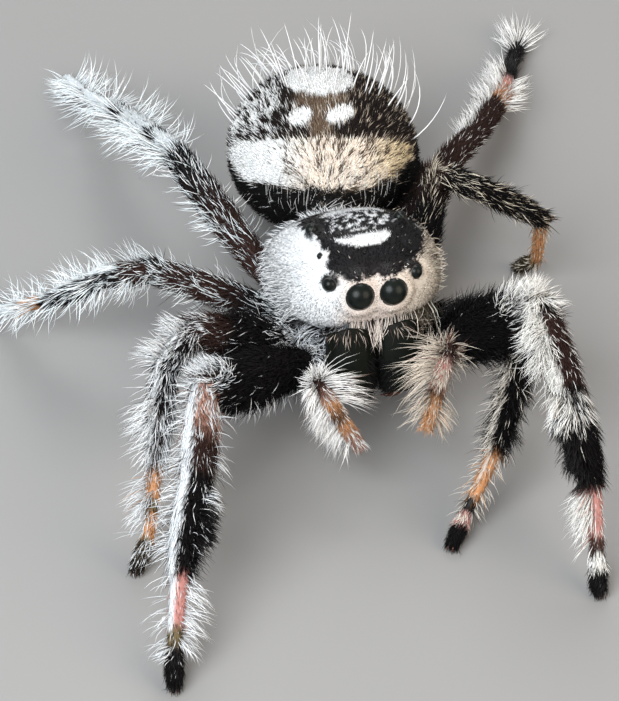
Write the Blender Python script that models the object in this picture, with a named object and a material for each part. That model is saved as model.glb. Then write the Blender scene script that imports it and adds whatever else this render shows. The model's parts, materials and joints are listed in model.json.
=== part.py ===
"""A male regal jumping spider, life size, standing with its head raised.

The solids reach out to the tips of the dense coat. Lengths are written in
millimetres, and each mesh is made in metres. +Z is up, the spider faces -Y,
and its own left side is at +X. The origin is on the floor, under the middle
of the whole outline.

Two frames are used. The body frame is level with the carapace: its origin is
in the plane of the leg bases, under the carapace's middle. The floor frame is
the finished model's own.
"""
import math

import bmesh
import bpy
from mathutils import Matrix, Vector

MM = 0.001
GAP = 0.06              # clear space between two neighbouring solids
CUT_REACH = 0.02        # how far a cutter stands past the solid it follows

# ---------------------------------------------------------------- the stance
BODY_PITCH = math.radians(13.0)     # the head is held up
LEG_BASE_HEIGHT = 3.2               # leg bases above the floor
BODY_PLACE = (0.32, -1.33)          # body frame's origin, from the middle of the outline
FOOT_CUT = 0.08                     # depth that is cut off each foot's underside, flat at the floor

# -------------------------------------------------------------- the carapace
CARAPACE_FRONT = -2.97
CARAPACE_BACK = 2.85
# Profiles along the body: (place from front to back, value), before the ends close in.
CARAPACE_TOP = [(-3.0, 2.38), (-2.0, 2.62), (-0.8, 2.80), (0.4, 2.52), (1.6, 1.85), (3.0, 1.20)]
CARAPACE_SIDE = [(-3.0, 2.46), (-1.4, 2.60), (0.1, 2.62), (1.6, 2.32), (3.0, 1.80)]
CARAPACE_MIDDLE = [(-3.0, 1.10), (-0.5, 0.78), (3.0, 0.60)]
CARAPACE_BOTTOM = [(-3.0, -0.38), (-1.5, -0.22), (0.5, -0.10), (3.0, 0.0)]
FRONT_ROUNDNESS = 2.7               # exponent of the face's outline, seen from above
BACK_ROUNDNESS = 2.3
UPPER_ROUNDNESS = 2.2               # exponent of the section above its widest height
LOWER_ROUNDNESS = 3.6

# ------------------------------------------------------------------ the eyes
# name: (half the spacing, place along, height, radius)
EYES = {
    "eye_front_middle": (0.49, -2.71, 1.40, 0.43),
    "eye_front_side": (1.27, -2.40, 1.71, 0.21),
    "eye_small": (1.34, -1.62, 2.20, 0.09),
    "eye_rear": (1.32, -0.70, 2.54, 0.19),
}

# ------------------------------------------------- the jaws, palps and waist
JAW_TOP = (0.75, -2.42, 0.62)
JAW_TIP = (0.67, -2.94, -1.90)
JAW_WIDTH = 1.36
JAW_DEPTH = 1.22
JAW_ROUNDNESS = 3.2                 # how squarely the jaw's ends close
JAW_FULLNESS = 0.10                 # how much fatter the jaw's middle is than its ends
FANG_PATH = [(0.82, -2.62, -2.17), (0.60, -2.47, -2.32), (0.27, -2.38, -2.28)]
FANG_RADII = [0.20, 0.17, 0.11]
STERNUM_SIZE = (2.3, 3.8, 1.1)
STERNUM_PLACE = (0.0, 0.10, -0.70)
WAIST_PATH = [(0.0, 1.5, -0.35), (0.05, 3.30, 0.20)]
WAIST_RADIUS = 0.40

# --------------------------------------------------------------- the abdomen
ABDOMEN_PLACE = (0.99, 6.25, 1.02)  # its middle, in the body frame
ABDOMEN_LENGTH = 7.3
ABDOMEN_WIDTH = 6.45
ABDOMEN_HEIGHT = 5.05
ABDOMEN_TURN = math.radians(14.0)   # its rear is swung to the spider's left
ABDOMEN_SLOPE = math.radians(15.0)  # its rear is lower than its front, from level
ABDOMEN_TAPER = 0.02                # how much wider the front half is than the rear
SPINNERET_LENGTH = 0.75
SPINNERET_RADIUS = 0.42

# ------------------------------------------------------------------ the legs
SEGMENTS = ("femur", "patella", "tibia", "metatarsus", "tarsus")
# Leg bases in the body frame, on the left side.
LEG_BASES = {1: (1.95, -2.30, -0.95), 2: (2.05, -1.15, -0.78), 3: (2.05, 0.10, -0.65), 4: (1.85, 1.40, -0.52)}
SEGMENT_LENGTHS = {
    1: (3.90, 2.75, 2.70, 2.00, 1.25),
    2: (3.40, 1.60, 2.75, 1.95, 1.15),
    3: (3.85, 1.50, 2.40, 2.10, 1.10),
    4: (5.20, 1.90, 3.20, 2.50, 1.40),
}
# Radius of each segment at its start, middle and end, out to the coat's tips.
SEGMENT_RADII = {
    1: ((0.44, 0.70, 0.56), (0.56, 0.62, 0.54), (0.54, 0.60, 0.42), (0.36, 0.34, 0.31), (0.28, 0.33, 0.25)),
    2: ((0.45, 0.60, 0.48), (0.46, 0.50, 0.44), (0.44, 0.47, 0.36), (0.32, 0.30, 0.28), (0.26, 0.30, 0.25)),
    3: ((0.40, 0.52, 0.46), (0.44, 0.47, 0.42), (0.42, 0.44, 0.35), (0.31, 0.29, 0.27), (0.26, 0.29, 0.25)),
    4: ((0.40, 0.58, 0.50), (0.48, 0.50, 0.46), (0.46, 0.48, 0.38), (0.34, 0.31, 0.28), (0.26, 0.30, 0.25)),
}
# How much deeper than wide each segment is.
SEGMENT_DEPTHS = {1: (1.52, 1.12, 1.10, 1.0, 1.05), 2: (1.20, 1.08, 1.05, 1.0, 1.05),
                  3: (1.05, 1.05, 1.05, 1.0, 1.05), 4: (1.10, 1.08, 1.05, 1.0, 1.05)}
# How each segment points: (bearing from straight ahead towards the spider's
# own side, lift above level), in degrees. The tarsus has only a bearing,
# because its lift brings the foot down to the floor.
LEG_POSES = {
    ("left", 1): ((52, 41), (1, -10), (15, -54), (-2, -53), -4),
    ("left", 2): ((65, 10), (-41, -10), (-31, -24), (-46, -41), -40),
    ("left", 3): ((154, 23), (42, 12), (81, -34), (154, -78), -145),
    ("left", 4): ((144, 1), (138, -15), (144, -13), (154, -16), 151),
    ("right", 1): ((66, 16), (19, -18), (23, -18), (18, -35), 12),
    ("right", 2): ((81, 24), (45, -2), (20, -38), (19, -45), 41),
    ("right", 3): ((115, 13), (92, 0), (123, -42), (138, -39), 129),
    ("right", 4): ((158, 15), (166, -17), (172, -27), (169, -27), 167),
}
COXA_ROOT = (0.75, 0.68, -0.70)     # half spacing, share of the leg base's place along, height
COXA_RADII = (0.42, 0.46, 0.42)

# ----------------------------------------------------------------- the palps
PALP_BASE = (1.66, -2.86, -1.28)    # in the body frame, on the left side
PALP_RADII = {"femur": (0.25, 0.27, 0.28), "tarsus": (0.29, 0.31, 0.25)}
# Bearings and lifts in degrees and lengths of femur, tibia and tarsus.
PALP_POSES = {
    "left": ((35, 63, 1.20), (-32, -13, 0.82), (-33, -42, 1.74)),
    "right": ((24, 45, 0.93), (-22, -28, 1.00), (-33, -38, 1.24)),
}

SIDES = {"left": 1.0, "right": -1.0}
LIMB_SIDES = 10         # facets round a leg
BODY_FACETS = (26, 16)  # round and along a body's ball


# ------------------------------------------------------------------- helpers
def smooth_profile(points, place):
    """Read a smooth curve that passes through the (place, value) points."""
    count = len(points)
    place = min(max(place, points[0][0]), points[-1][0])
    index = 0
    while index < count - 2 and place > points[index + 1][0]:
        index += 1

    def slope(at):
        low, high = max(at - 1, 0), min(at + 1, count - 1)
        return (points[high][1] - points[low][1]) / (points[high][0] - points[low][0])

    (start, low_value), (end, high_value) = points[index], points[index + 1]
    length = end - start
    t = (place - start) / length
    rise = 3 * t * t - 2 * t * t * t
    return (low_value + (high_value - low_value) * rise
            + slope(index) * length * t * (1 - t) ** 2
            - slope(index + 1) * length * t * t * (1 - t))


def end_closing(t, roundness):
    """How far a section has opened at t, from 0 in the middle to 1 at the end."""
    return max(1.0 - abs(t) ** roundness, 0.0) ** (1.0 / roundness)


def power(value, exponent):
    return math.copysign(abs(value) ** exponent, value)


def heading(side, bearing, lift):
    """A direction from its bearing and lift in degrees, on the given side."""
    b, h = math.radians(bearing), math.radians(lift)
    return Vector((SIDES[side] * math.sin(b) * math.cos(h), -math.cos(b) * math.cos(h), math.sin(h)))


def mirrored(point, side):
    return Vector((SIDES[side] * point[0], point[1], point[2]))


def material(name, colour, roughness, metallic=0.0):
    made = bpy.data.materials.new(name)
    made.use_nodes = True
    shader = made.node_tree.nodes["Principled BSDF"]
    shader.inputs["Base Color"].default_value = (*colour, 1.0)
    shader.inputs["Roughness"].default_value = roughness
    shader.inputs["Metallic"].default_value = metallic
    made.diffuse_color = (*colour, 1.0)
    return made


def finished(mesh_builder, name, slot, parent=None, origin=(0.0, 0.0, 0.0), cutter=False):
    """Turn a bmesh in millimetres into an object whose origin is at the given point."""
    origin = Vector(origin)
    bmesh.ops.remove_doubles(mesh_builder, verts=mesh_builder.verts, dist=0.0005)
    bmesh.ops.recalc_face_normals(mesh_builder, faces=mesh_builder.faces)
    bmesh.ops.translate(mesh_builder, verts=mesh_builder.verts, vec=-origin)
    bmesh.ops.scale(mesh_builder, verts=mesh_builder.verts, vec=(MM, MM, MM))
    mesh = bpy.data.meshes.new(name)
    mesh_builder.to_mesh(mesh)
    mesh_builder.free()
    mesh.shade_smooth()
    mesh.materials.append(MATERIALS[slot])
    made = bpy.data.objects.new(name, mesh)
    made.location = origin * MM
    made.parent = parent
    (CUTTERS if cutter else SPIDER).objects.link(made)
    if cutter:
        made.hide_render = True
        made.display_type = "WIRE"
    return made


def boolean(target, cutter, operation="DIFFERENCE"):
    change = target.modifiers.new(operation.lower() + "_" + cutter.name, "BOOLEAN")
    change.operation = operation
    change.object = cutter
    change.solver = "EXACT"


def ball(size, place=(0, 0, 0), facets=(14, 8)):
    """A closed ball, or an egg when the three sizes differ."""
    made = bmesh.new()
    shape = Matrix.Translation(place) @ Matrix.Diagonal((size[0] / 2, size[1] / 2, size[2] / 2, 1.0))
    poles_along = Matrix.Rotation(math.pi / 2, 4, "X")
    bmesh.ops.create_uvsphere(made, u_segments=facets[0], v_segments=facets[1], radius=1.0,
                              matrix=shape @ poles_along)
    return made


def limb(joints, radii, start_normal, end_normal, rings=5, depth=1.0):
    """Loft a round limb through its joints, closed flat in the two given planes."""
    made = bmesh.new()
    steps = [b - a for a, b in zip(joints, joints[1:])]
    lengths = [step.length for step in steps]
    whole = sum(lengths)
    axes = [step.normalized() for step in steps]
    normals = [start_normal] + [(a + b).normalized() for a, b in zip(axes, axes[1:])] + [end_normal]
    radius_points = [(i / (len(radii) - 1), r) for i, r in enumerate(radii)]
    loops = []
    side = None
    travelled = 0.0
    for number, axis in enumerate(axes):
        first = 0 if number == 0 else 1
        for ring in range(first, rings):
            share = ring / (rings - 1)
            centre = joints[number] + steps[number] * share
            if share < 0.5:
                normal = normals[number].lerp(axis, share * 2).normalized()
            else:
                normal = axis.lerp(normals[number + 1], share * 2 - 1).normalized()
            if side is None:
                side = normal.cross(Vector((0, 0, 1)))
            side = (side - normal * side.dot(normal)).normalized()
            frame = Matrix((side, normal.cross(side), normal)).transposed().to_4x4()
            radius = smooth_profile(radius_points, (travelled + lengths[number] * share) / whole)
            oval = Matrix.Diagonal((1.0, depth, 1.0, 1.0))
            circle = bmesh.ops.create_circle(made, segments=LIMB_SIDES, radius=radius,
                                             matrix=Matrix.Translation(centre) @ frame @ oval)
            loops.append(circle["verts"])
        travelled += lengths[number]
    for a, b in zip(loops, loops[1:]):
        for i in range(LIMB_SIDES):
            j = (i + 1) % LIMB_SIDES
            made.faces.new((a[i], a[j], b[j], b[i]))
    made.faces.new(loops[0])
    made.faces.new(loops[-1])
    return made


def cut_at_floor(made):
    """Trim what is below the floor and close the cut with a flat."""
    cut = bmesh.ops.bisect_plane(made, geom=made.verts[:] + made.edges[:] + made.faces[:], dist=0.0001,
                                 plane_co=(0, 0, 0), plane_no=(0, 0, -1), clear_outer=True)
    rim = [edge for edge in cut["geom_cut"] if isinstance(edge, bmesh.types.BMEdge)]
    bmesh.ops.edgeloop_fill(made, edges=rim)


# -------------------------------------------------------- scene and materials
for old in list(bpy.data.objects):
    bpy.data.objects.remove(old, do_unlink=True)

SPIDER = bpy.data.collections.new("jumping_spider")
CUTTERS = bpy.data.collections.new("cutters")
bpy.context.scene.collection.children.link(SPIDER)
bpy.context.scene.collection.children.link(CUTTERS)

MATERIALS = {
    "white_coat": material("white_coat", (0.80, 0.77, 0.71), 0.85),
    "dark_coat": material("dark_coat", (0.045, 0.036, 0.034), 0.70),
    "banded_coat": material("banded_coat", (0.20, 0.17, 0.15), 0.75),
    "orange_skin": material("orange_skin", (0.62, 0.30, 0.19), 0.55),
    "eye_glass": material("eye_glass", (0.008, 0.008, 0.009), 0.06),
    "jaw_shell": material("jaw_shell", (0.014, 0.022, 0.016), 0.32),
    "fang_shell": material("fang_shell", (0.10, 0.025, 0.012), 0.25),
}

BODY_ORIGIN = Vector((BODY_PLACE[0], BODY_PLACE[1], LEG_BASE_HEIGHT))
body_pose = bpy.data.objects.new("body_pose", None)
body_pose.location = BODY_ORIGIN * MM
body_pose.rotation_euler = (-BODY_PITCH, 0.0, 0.0)
SPIDER.objects.link(body_pose)
BODY_MATRIX = Matrix.Translation(BODY_ORIGIN) @ Matrix.Rotation(-BODY_PITCH, 4, "X")


def to_floor(point):
    """Take a point from the body frame to the floor frame."""
    return BODY_MATRIX @ Vector(point)


# --------------------------------------------------------- carapace and eyes
def carapace_mesh(grow):
    """The carapace: a ball drawn out to the profiles, grown by the given margin."""
    made = ball((2, 2, 2), facets=BODY_FACETS)
    half_length = (CARAPACE_BACK - CARAPACE_FRONT) / 2
    centre = (CARAPACE_BACK + CARAPACE_FRONT) / 2
    for vert in made.verts:
        along = max(min(vert.co.y, 1.0), -1.0)
        place = centre + half_length * along
        closing = end_closing(along, FRONT_ROUNDNESS if along < 0 else BACK_ROUNDNESS)
        angle = math.atan2(vert.co.z, vert.co.x)
        at_pole = math.hypot(vert.co.x, vert.co.z) < 1e-4
        upper = vert.co.z > 0
        exponent = 2.0 / (UPPER_ROUNDNESS if upper else LOWER_ROUNDNESS)
        middle = smooth_profile(CARAPACE_MIDDLE, place)
        edge = smooth_profile(CARAPACE_TOP if upper else CARAPACE_BOTTOM, place)
        width = smooth_profile(CARAPACE_SIDE, place) * closing + grow
        height = abs(edge - middle) * closing + grow
        if at_pole:
            vert.co = (0.0, place + grow * along, middle)
        else:
            vert.co = (width * power(math.cos(angle), exponent), place + grow * along,
                       middle + height * power(math.sin(angle), exponent))
    return made


carapace = finished(carapace_mesh(0.0), "carapace", "white_coat", parent=body_pose)
carapace_cutter = finished(carapace_mesh(GAP), "carapace_clearance", "white_coat", parent=body_pose,
                           cutter=True)

for eye_name, (spacing, along, height, radius) in EYES.items():
    for side in SIDES:
        place = mirrored((spacing, along, height), side)
        facets = (14, 9) if radius > 0.3 else (10, 6)
        finished(ball((2 * radius,) * 3, facets=facets), f"{eye_name}_{side}", "eye_glass",
                 parent=body_pose).location = place * MM
        socket = finished(ball((2 * (radius + GAP * 0.7),) * 3, facets=facets), f"{eye_name}_{side}_socket",
                          "eye_glass", parent=body_pose, cutter=True)
        socket.location = place * MM
        boolean(carapace, socket)


# ------------------------------------------------------------------- the jaws
def jaw_mesh(side, grow):
    """One jaw: an egg with a flattened inner face, grown by the given margin."""
    top, tip = mirrored(JAW_TOP, side), mirrored(JAW_TIP, side)
    axis = (top - tip).normalized()
    across = Vector((1, 0, 0))
    across = (across - axis * across.dot(axis)).normalized()
    frame = Matrix((across, axis.cross(across), axis)).transposed().to_4x4()
    made = ball((2, 2, 2), facets=(14, 10))
    for vert in made.verts:
        vert.co = (vert.co.x, vert.co.z, -vert.co.y)
    for vert in made.verts:
        round_off = end_closing(vert.co.z, JAW_ROUNDNESS)
        flat = max(math.hypot(vert.co.x, vert.co.y), 1e-6)
        fuller = 1.0 + JAW_FULLNESS * (1.0 - abs(vert.co.z))
        vert.co.x *= round_off / flat * (JAW_WIDTH / 2 * fuller + grow)
        vert.co.y *= round_off / flat * (JAW_DEPTH / 2 * fuller + grow)
        vert.co.z *= (top - tip).length / 2 + grow
    inner_limit = -SIDES[side] * (abs(top.x + tip.x) / 2 - GAP)
    for vert in made.verts:
        if SIDES[side] * (vert.co.x - inner_limit) < 0:
            vert.co.x = inner_limit
    bmesh.ops.transform(made, verts=made.verts, matrix=Matrix.Translation((top + tip) / 2) @ frame)
    return made


jaw_cutters = {}
for side in SIDES:
    jaw = finished(jaw_mesh(side, 0.0), f"chelicera_{side}", "jaw_shell", parent=body_pose)
    jaw_cutters[side] = finished(jaw_mesh(side, GAP), f"chelicera_{side}_clearance", "jaw_shell",
                                 parent=body_pose, cutter=True)
    boolean(jaw, carapace_cutter)
    path = [mirrored(point, side) for point in FANG_PATH]
    ends = [(path[1] - path[0]).normalized(), (path[-1] - path[-2]).normalized()]
    finished(limb(path, FANG_RADII, ends[0], ends[1], rings=3), f"fang_{side}", "fang_shell",
             parent=body_pose, origin=path[0])

# ------------------------------------------------------------------ the legs
CLEAR = GAP / 2


def pulled_in(joint, normal, amount):
    return joint + normal * amount


leg_chains = {}
for (side, number), pose in LEG_POSES.items():
    chain = [to_floor(mirrored(LEG_BASES[number], side))]
    directions = []
    for segment, length in zip(pose[:-1], SEGMENT_LENGTHS[number]):
        directions.append(heading(side, *segment))
        chain.append(chain[-1] + directions[-1] * length)
    # The tarsus is turned down until the lowest point of its tip is at the cut's depth.
    reach = SEGMENT_LENGTHS[number][-1]
    tip = SEGMENT_RADII[number][-1][-1] * SEGMENT_DEPTHS[number][-1]
    drop = math.asin(min((chain[-1].z + FOOT_CUT) / math.hypot(reach, tip), 1.0)) - math.atan2(tip, reach)
    directions.append(heading(side, pose[-1], -math.degrees(drop)))
    chain.append(chain[-1] + directions[-1] * reach)
    leg_chains[side, number] = (chain, directions)


def coxa_root(side, number):
    base = mirrored(LEG_BASES[number], side)
    spacing, share, height = COXA_ROOT
    return to_floor((SIDES[side] * spacing, base.y * share, height))


def base_plane(side, number):
    """The plane between a coxa and its femur, in the floor frame."""
    chain, directions = leg_chains[side, number]
    coxa_way = (chain[0] - coxa_root(side, number)).normalized()
    return (coxa_way + directions[0]).normalized()


for (side, number), (chain, directions) in leg_chains.items():
    planes = [base_plane(side, number)]
    planes += [(a + b).normalized() for a, b in zip(directions, directions[1:])]
    planes.append(directions[-1])
    for index, segment in enumerate(SEGMENTS):
        start = pulled_in(chain[index], planes[index], CLEAR)
        end = chain[index + 1]
        if index < len(SEGMENTS) - 1:
            end = pulled_in(end, planes[index + 1], -CLEAR)
        shape = limb([start, end], SEGMENT_RADII[number][index], planes[index], planes[index + 1],
                     depth=SEGMENT_DEPTHS[number][index])
        if segment == "tarsus":
            cut_at_floor(shape)
        slot = {"femur": "dark_coat", "patella": "banded_coat", "tibia": "banded_coat",
                "metatarsus": "orange_skin", "tarsus": "dark_coat"}[segment]
        leg = finished(shape, f"leg_{number}_{side}_{segment}", slot, origin=start)
        if segment == "femur":
            boolean(leg, carapace_cutter)

# ---------------------------------------------- sternum with coxae and waist
sternum = finished(ball(STERNUM_SIZE, STERNUM_PLACE, facets=(16, 8)), "sternum", "dark_coat",
                   parent=body_pose)
for side, number in LEG_POSES:
    root = coxa_root(side, number)
    end = pulled_in(leg_chains[side, number][0][0], base_plane(side, number), -CLEAR)
    shape = limb([root, end], COXA_RADII, (end - root).normalized(), base_plane(side, number), rings=3)
    coxa = finished(shape, f"coxa_{number}_{side}", "dark_coat", cutter=True)
    boolean(sternum, coxa, "UNION")
waist_joints = [Vector(point) for point in WAIST_PATH]
waist_way = (waist_joints[1] - waist_joints[0]).normalized()
waist = finished(limb(waist_joints, (WAIST_RADIUS,) * 2, waist_way, waist_way, rings=2), "waist", "dark_coat",
                 parent=body_pose, cutter=True)
boolean(sternum, waist, "UNION")
boolean(sternum, carapace_cutter)
for jaw_cutter in jaw_cutters.values():
    boolean(sternum, jaw_cutter)

# ------------------------------------------------------------------ the palps
for side, (femur, tibia, tarsus) in PALP_POSES.items():
    base = to_floor(mirrored(PALP_BASE, side))
    ways = [heading(side, bearing, lift) for bearing, lift, _ in (femur, tibia, tarsus)]
    knee = base + ways[0] * femur[2]
    wrist = knee + ways[1] * tibia[2]
    tip = wrist + ways[2] * tarsus[2]
    knee_plane = (ways[0] + ways[1]).normalized()
    start = pulled_in(knee, knee_plane, CLEAR)
    finished(limb([base, pulled_in(knee, knee_plane, -CLEAR)], PALP_RADII["femur"], ways[0], knee_plane),
             f"palp_{side}_femur", "banded_coat", origin=base)
    finished(limb([start, wrist, tip], PALP_RADII["tarsus"], knee_plane, ways[2], rings=4),
             f"palp_{side}_tarsus", "orange_skin", origin=start)

# ---------------------------------------------------------------- the abdomen
abdomen_pose = bpy.data.objects.new("abdomen_pose", None)
ABDOMEN_MIDDLE = to_floor(ABDOMEN_PLACE)
abdomen_pose.location = ABDOMEN_MIDDLE * MM
abdomen_pose.rotation_euler = (-ABDOMEN_SLOPE, 0.0, -ABDOMEN_TURN)
SPIDER.objects.link(abdomen_pose)


def abdomen_mesh():
    """An egg with its poles along the body and its front half a little wider."""
    made = ball((ABDOMEN_WIDTH, ABDOMEN_LENGTH, ABDOMEN_HEIGHT), facets=BODY_FACETS)
    for vert in made.verts:
        along = vert.co.y / (ABDOMEN_LENGTH / 2)
        fuller = 1.0 - ABDOMEN_TAPER * along - 0.05 * (1 - along * along)
        vert.co.x *= fuller
        vert.co.z *= fuller
    return made


abdomen = finished(abdomen_mesh(), "abdomen", "white_coat", parent=abdomen_pose)
waist_cutter = finished(limb(waist_joints, (WAIST_RADIUS + GAP,) * 2, waist_way, waist_way, rings=2),
                        "waist_clearance", "dark_coat", parent=body_pose, cutter=True)
boolean(abdomen, carapace_cutter)
boolean(abdomen, waist_cutter)

spinneret_start = Vector((0.0, ABDOMEN_LENGTH / 2 + CUT_REACH, -0.05))
spinneret_end = spinneret_start + Vector((0.0, SPINNERET_LENGTH, -0.25))
rearward = (spinneret_end - spinneret_start).normalized()
finished(limb([spinneret_start, spinneret_end], (SPINNERET_RADIUS, SPINNERET_RADIUS, 0.26),
              rearward, rearward, rings=3), "spinnerets", "dark_coat", parent=abdomen_pose,
         origin=spinneret_start)
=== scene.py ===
# %% [markdown]
# # A male regal jumping spider, life size
# The spider is about 13 mm long without its legs, so every size here is written in
# millimetres and only turned to metres when a mesh is finished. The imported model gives
# the true outline out to the tips of the hairs. We keep its places, and make the looks:
# one skin inside the outline, glassy eyes, shell jaws, and a coat of solid hairs.

# %% Tools and the frame
import json
import math

import bmesh
import bpy
import numpy as np
from mathutils import Matrix, Vector
from mathutils.bvhtree import BVHTree

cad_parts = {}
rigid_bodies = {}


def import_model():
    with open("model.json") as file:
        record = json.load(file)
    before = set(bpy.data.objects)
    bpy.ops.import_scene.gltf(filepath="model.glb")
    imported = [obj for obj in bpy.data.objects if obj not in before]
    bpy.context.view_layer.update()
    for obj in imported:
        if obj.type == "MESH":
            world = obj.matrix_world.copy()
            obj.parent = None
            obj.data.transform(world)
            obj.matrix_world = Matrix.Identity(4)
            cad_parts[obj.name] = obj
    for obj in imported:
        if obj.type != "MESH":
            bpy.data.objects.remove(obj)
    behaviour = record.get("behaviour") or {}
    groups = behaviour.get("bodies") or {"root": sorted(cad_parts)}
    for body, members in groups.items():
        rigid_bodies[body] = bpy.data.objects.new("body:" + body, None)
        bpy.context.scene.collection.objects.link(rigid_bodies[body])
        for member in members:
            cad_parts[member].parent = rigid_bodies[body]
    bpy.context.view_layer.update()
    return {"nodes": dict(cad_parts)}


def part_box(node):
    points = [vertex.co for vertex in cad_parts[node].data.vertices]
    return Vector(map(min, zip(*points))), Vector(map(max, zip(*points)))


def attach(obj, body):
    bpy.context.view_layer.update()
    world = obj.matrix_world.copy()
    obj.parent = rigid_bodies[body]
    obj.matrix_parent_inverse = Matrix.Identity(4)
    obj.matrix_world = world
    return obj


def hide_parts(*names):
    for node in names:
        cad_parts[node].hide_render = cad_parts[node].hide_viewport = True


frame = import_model()
MM = 0.001
SIDES = {"left": 1.0, "right": -1.0}
chance = np.random.default_rng(20)      # one seed, so every run grows the same coat


def add_to_scene(name, data):
    """A new object that holds this mesh, camera or lamp, linked to the scene."""
    made = bpy.data.objects.new(name, data)
    bpy.context.scene.collection.objects.link(made)
    return made


print("CAD nodes:", len(frame["nodes"]))

# %% [markdown]
# ## Camera
# A long lens far away keeps a small animal from looking stretched. The camera stands in
# front of the spider, 45 degrees up and a little to its right, and is rolled a little.
# Its matrix is one turn for each of those angles, so the numbers stay readable.

# %% Camera
AIM = Vector((-1.12, -2.53, 2.0))       # the point that the lens looks at
CAMERA_AZIMUTH = math.radians(-19.0)
CAMERA_ELEVATION = math.radians(45.4)
CAMERA_ROLL = math.radians(5.0)
CAMERA_DISTANCE = 102.96
LENS = 205.3                            # focal length for a sensor 36 mm wide


def turned_to(azimuth, elevation, roll=0.0):
    """The rotation of a camera or lamp that looks back from that direction."""
    tilt = Matrix.Rotation(math.pi / 2 - elevation, 4, "X")
    return Matrix.Rotation(azimuth, 4, "Z") @ tilt @ Matrix.Rotation(roll, 4, "Z")


def stand_off(aim, turn, distance):
    """The matrix of something that looks at the aim along its own -Z, from that far away."""
    place = Matrix.Translation((aim + turn.to_3x3() @ Vector((0, 0, distance))) * MM)
    return place @ turn


camera_data = bpy.data.cameras.new("camera")
camera_data.lens = LENS
camera_data.sensor_width = 36.0
camera_data.sensor_fit = "HORIZONTAL"
camera_data.clip_start = 1.0 * MM
camera = add_to_scene("camera", camera_data)
camera_turn = turned_to(CAMERA_AZIMUTH, CAMERA_ELEVATION, CAMERA_ROLL)
camera.matrix_world = stand_off(AIM, camera_turn, CAMERA_DISTANCE)
bpy.context.scene.camera = camera
print("camera at", [round(c / MM, 1) for c in camera.location], "mm")

# %% [markdown]
# ## Light
# White fur needs light from more than one side, or it turns flat. A large cool softbox
# stands to the left, a warm one to the right, and a third behind the spider lights the
# tips of the hairs. The world adds a little even light, as a pale room does.

# %% Softboxes and world
LIGHT_AIM = Vector((0.0, 0.0, 2.0))
ROOM_COLOUR = (0.86, 0.90, 0.95, 1.0)
ROOM_STRENGTH = 0.40


def softbox(name, azimuth, elevation, distance, size, watts, colour):
    """A round area lamp that looks at the spider. Angles are in degrees."""
    lamp_data = bpy.data.lights.new(name, "AREA")
    lamp_data.shape = "DISK"
    lamp_data.size = size * MM
    lamp_data.energy = watts
    lamp_data.color = colour
    turn = turned_to(math.radians(azimuth), math.radians(elevation))
    add_to_scene(name, lamp_data).matrix_world = stand_off(LIGHT_AIM, turn, distance)


softbox("key", -52, 43, 120, 95, 0.250, (0.93, 0.97, 1.0))
softbox("warm_fill", 46, 30, 130, 110, 0.112, (1.0, 0.86, 0.70))
softbox("rim", 165, 48, 120, 70, 0.075, (1.0, 1.0, 1.0))

world = bpy.data.worlds.new("pale_room")
world.use_nodes = True
room = world.node_tree.nodes["Background"]
room.inputs["Color"].default_value = ROOM_COLOUR
room.inputs["Strength"].default_value = ROOM_STRENGTH
bpy.context.scene.world = world
bpy.context.scene.view_settings.view_transform = "Standard"   # keeps pure white fur white
print("three softboxes and a pale room")

# %% [markdown]
# ## Relief shared by several materials
# Skin, jaws, rims and floor all have the same kind of fine grain, only in other sizes.
# A node group holds it once, with its size and stretch as named inputs. It gives a mask
# and a height, and each material decides what to do with them.

# %% The grain group
def new_group(name, inputs, outputs):
    """An empty shader group with float or colour sockets: name to (type, default)."""
    group = bpy.data.node_groups.new(name, "ShaderNodeTree")
    for socket_name, (kind, default) in inputs.items():
        socket = group.interface.new_socket(socket_name, in_out="INPUT", socket_type=kind)
        socket.default_value = default
    for socket_name, kind in outputs.items():
        group.interface.new_socket(socket_name, in_out="OUTPUT", socket_type=kind)
    return group, group.nodes.new("NodeGroupInput"), group.nodes.new("NodeGroupOutput")


def add_node(tree, kind, **settings):
    """A new node in the tree with its settings."""
    made = tree.nodes.new(kind)
    for key, value in settings.items():
        setattr(made, key, value)
    return made


grain_group, grain_in, grain_out = new_group(
    "fine_grain",
    {"Size mm": ("NodeSocketFloat", 0.1), "Detail": ("NodeSocketFloat", 4.0)},
    {"Mask": "NodeSocketFloat", "Height": "NodeSocketFloat"})
place = add_node(grain_group, "ShaderNodeTexCoord")
scale = add_node(grain_group, "ShaderNodeMath", operation="DIVIDE")
scale.inputs[0].default_value = 1.0 / MM
grain_group.links.new(grain_in.outputs["Size mm"], scale.inputs[1])
lumps = add_node(grain_group, "ShaderNodeTexNoise")
pores = add_node(grain_group, "ShaderNodeTexVoronoi", feature="F1")
for texture in (lumps, pores):
    grain_group.links.new(place.outputs["Object"], texture.inputs["Vector"])
    grain_group.links.new(scale.outputs[0], texture.inputs["Scale"])
grain_group.links.new(grain_in.outputs["Detail"], lumps.inputs["Detail"])
both = add_node(grain_group, "ShaderNodeMath", operation="MULTIPLY_ADD")
both.inputs[1].default_value = 0.5      # the pores' share of the height
grain_group.links.new(pores.outputs["Distance"], both.inputs[0])
grain_group.links.new(lumps.outputs["Fac"], both.inputs[2])
grain_group.links.new(lumps.outputs["Fac"], grain_out.inputs["Mask"])
grain_group.links.new(both.outputs[0], grain_out.inputs["Height"])
print("group fine_grain:", len(grain_group.nodes), "nodes")

# %% [markdown]
# ## Materials
# The colours of a furry animal change from hair to hair. We work them out in Python,
# store them on the mesh in an attribute called tint, and let the material read it. That
# way the skin and the hairs over it share one set of markings. Roughness follows the
# tint too: black hairs and black skin are glossier than white ones.

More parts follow.
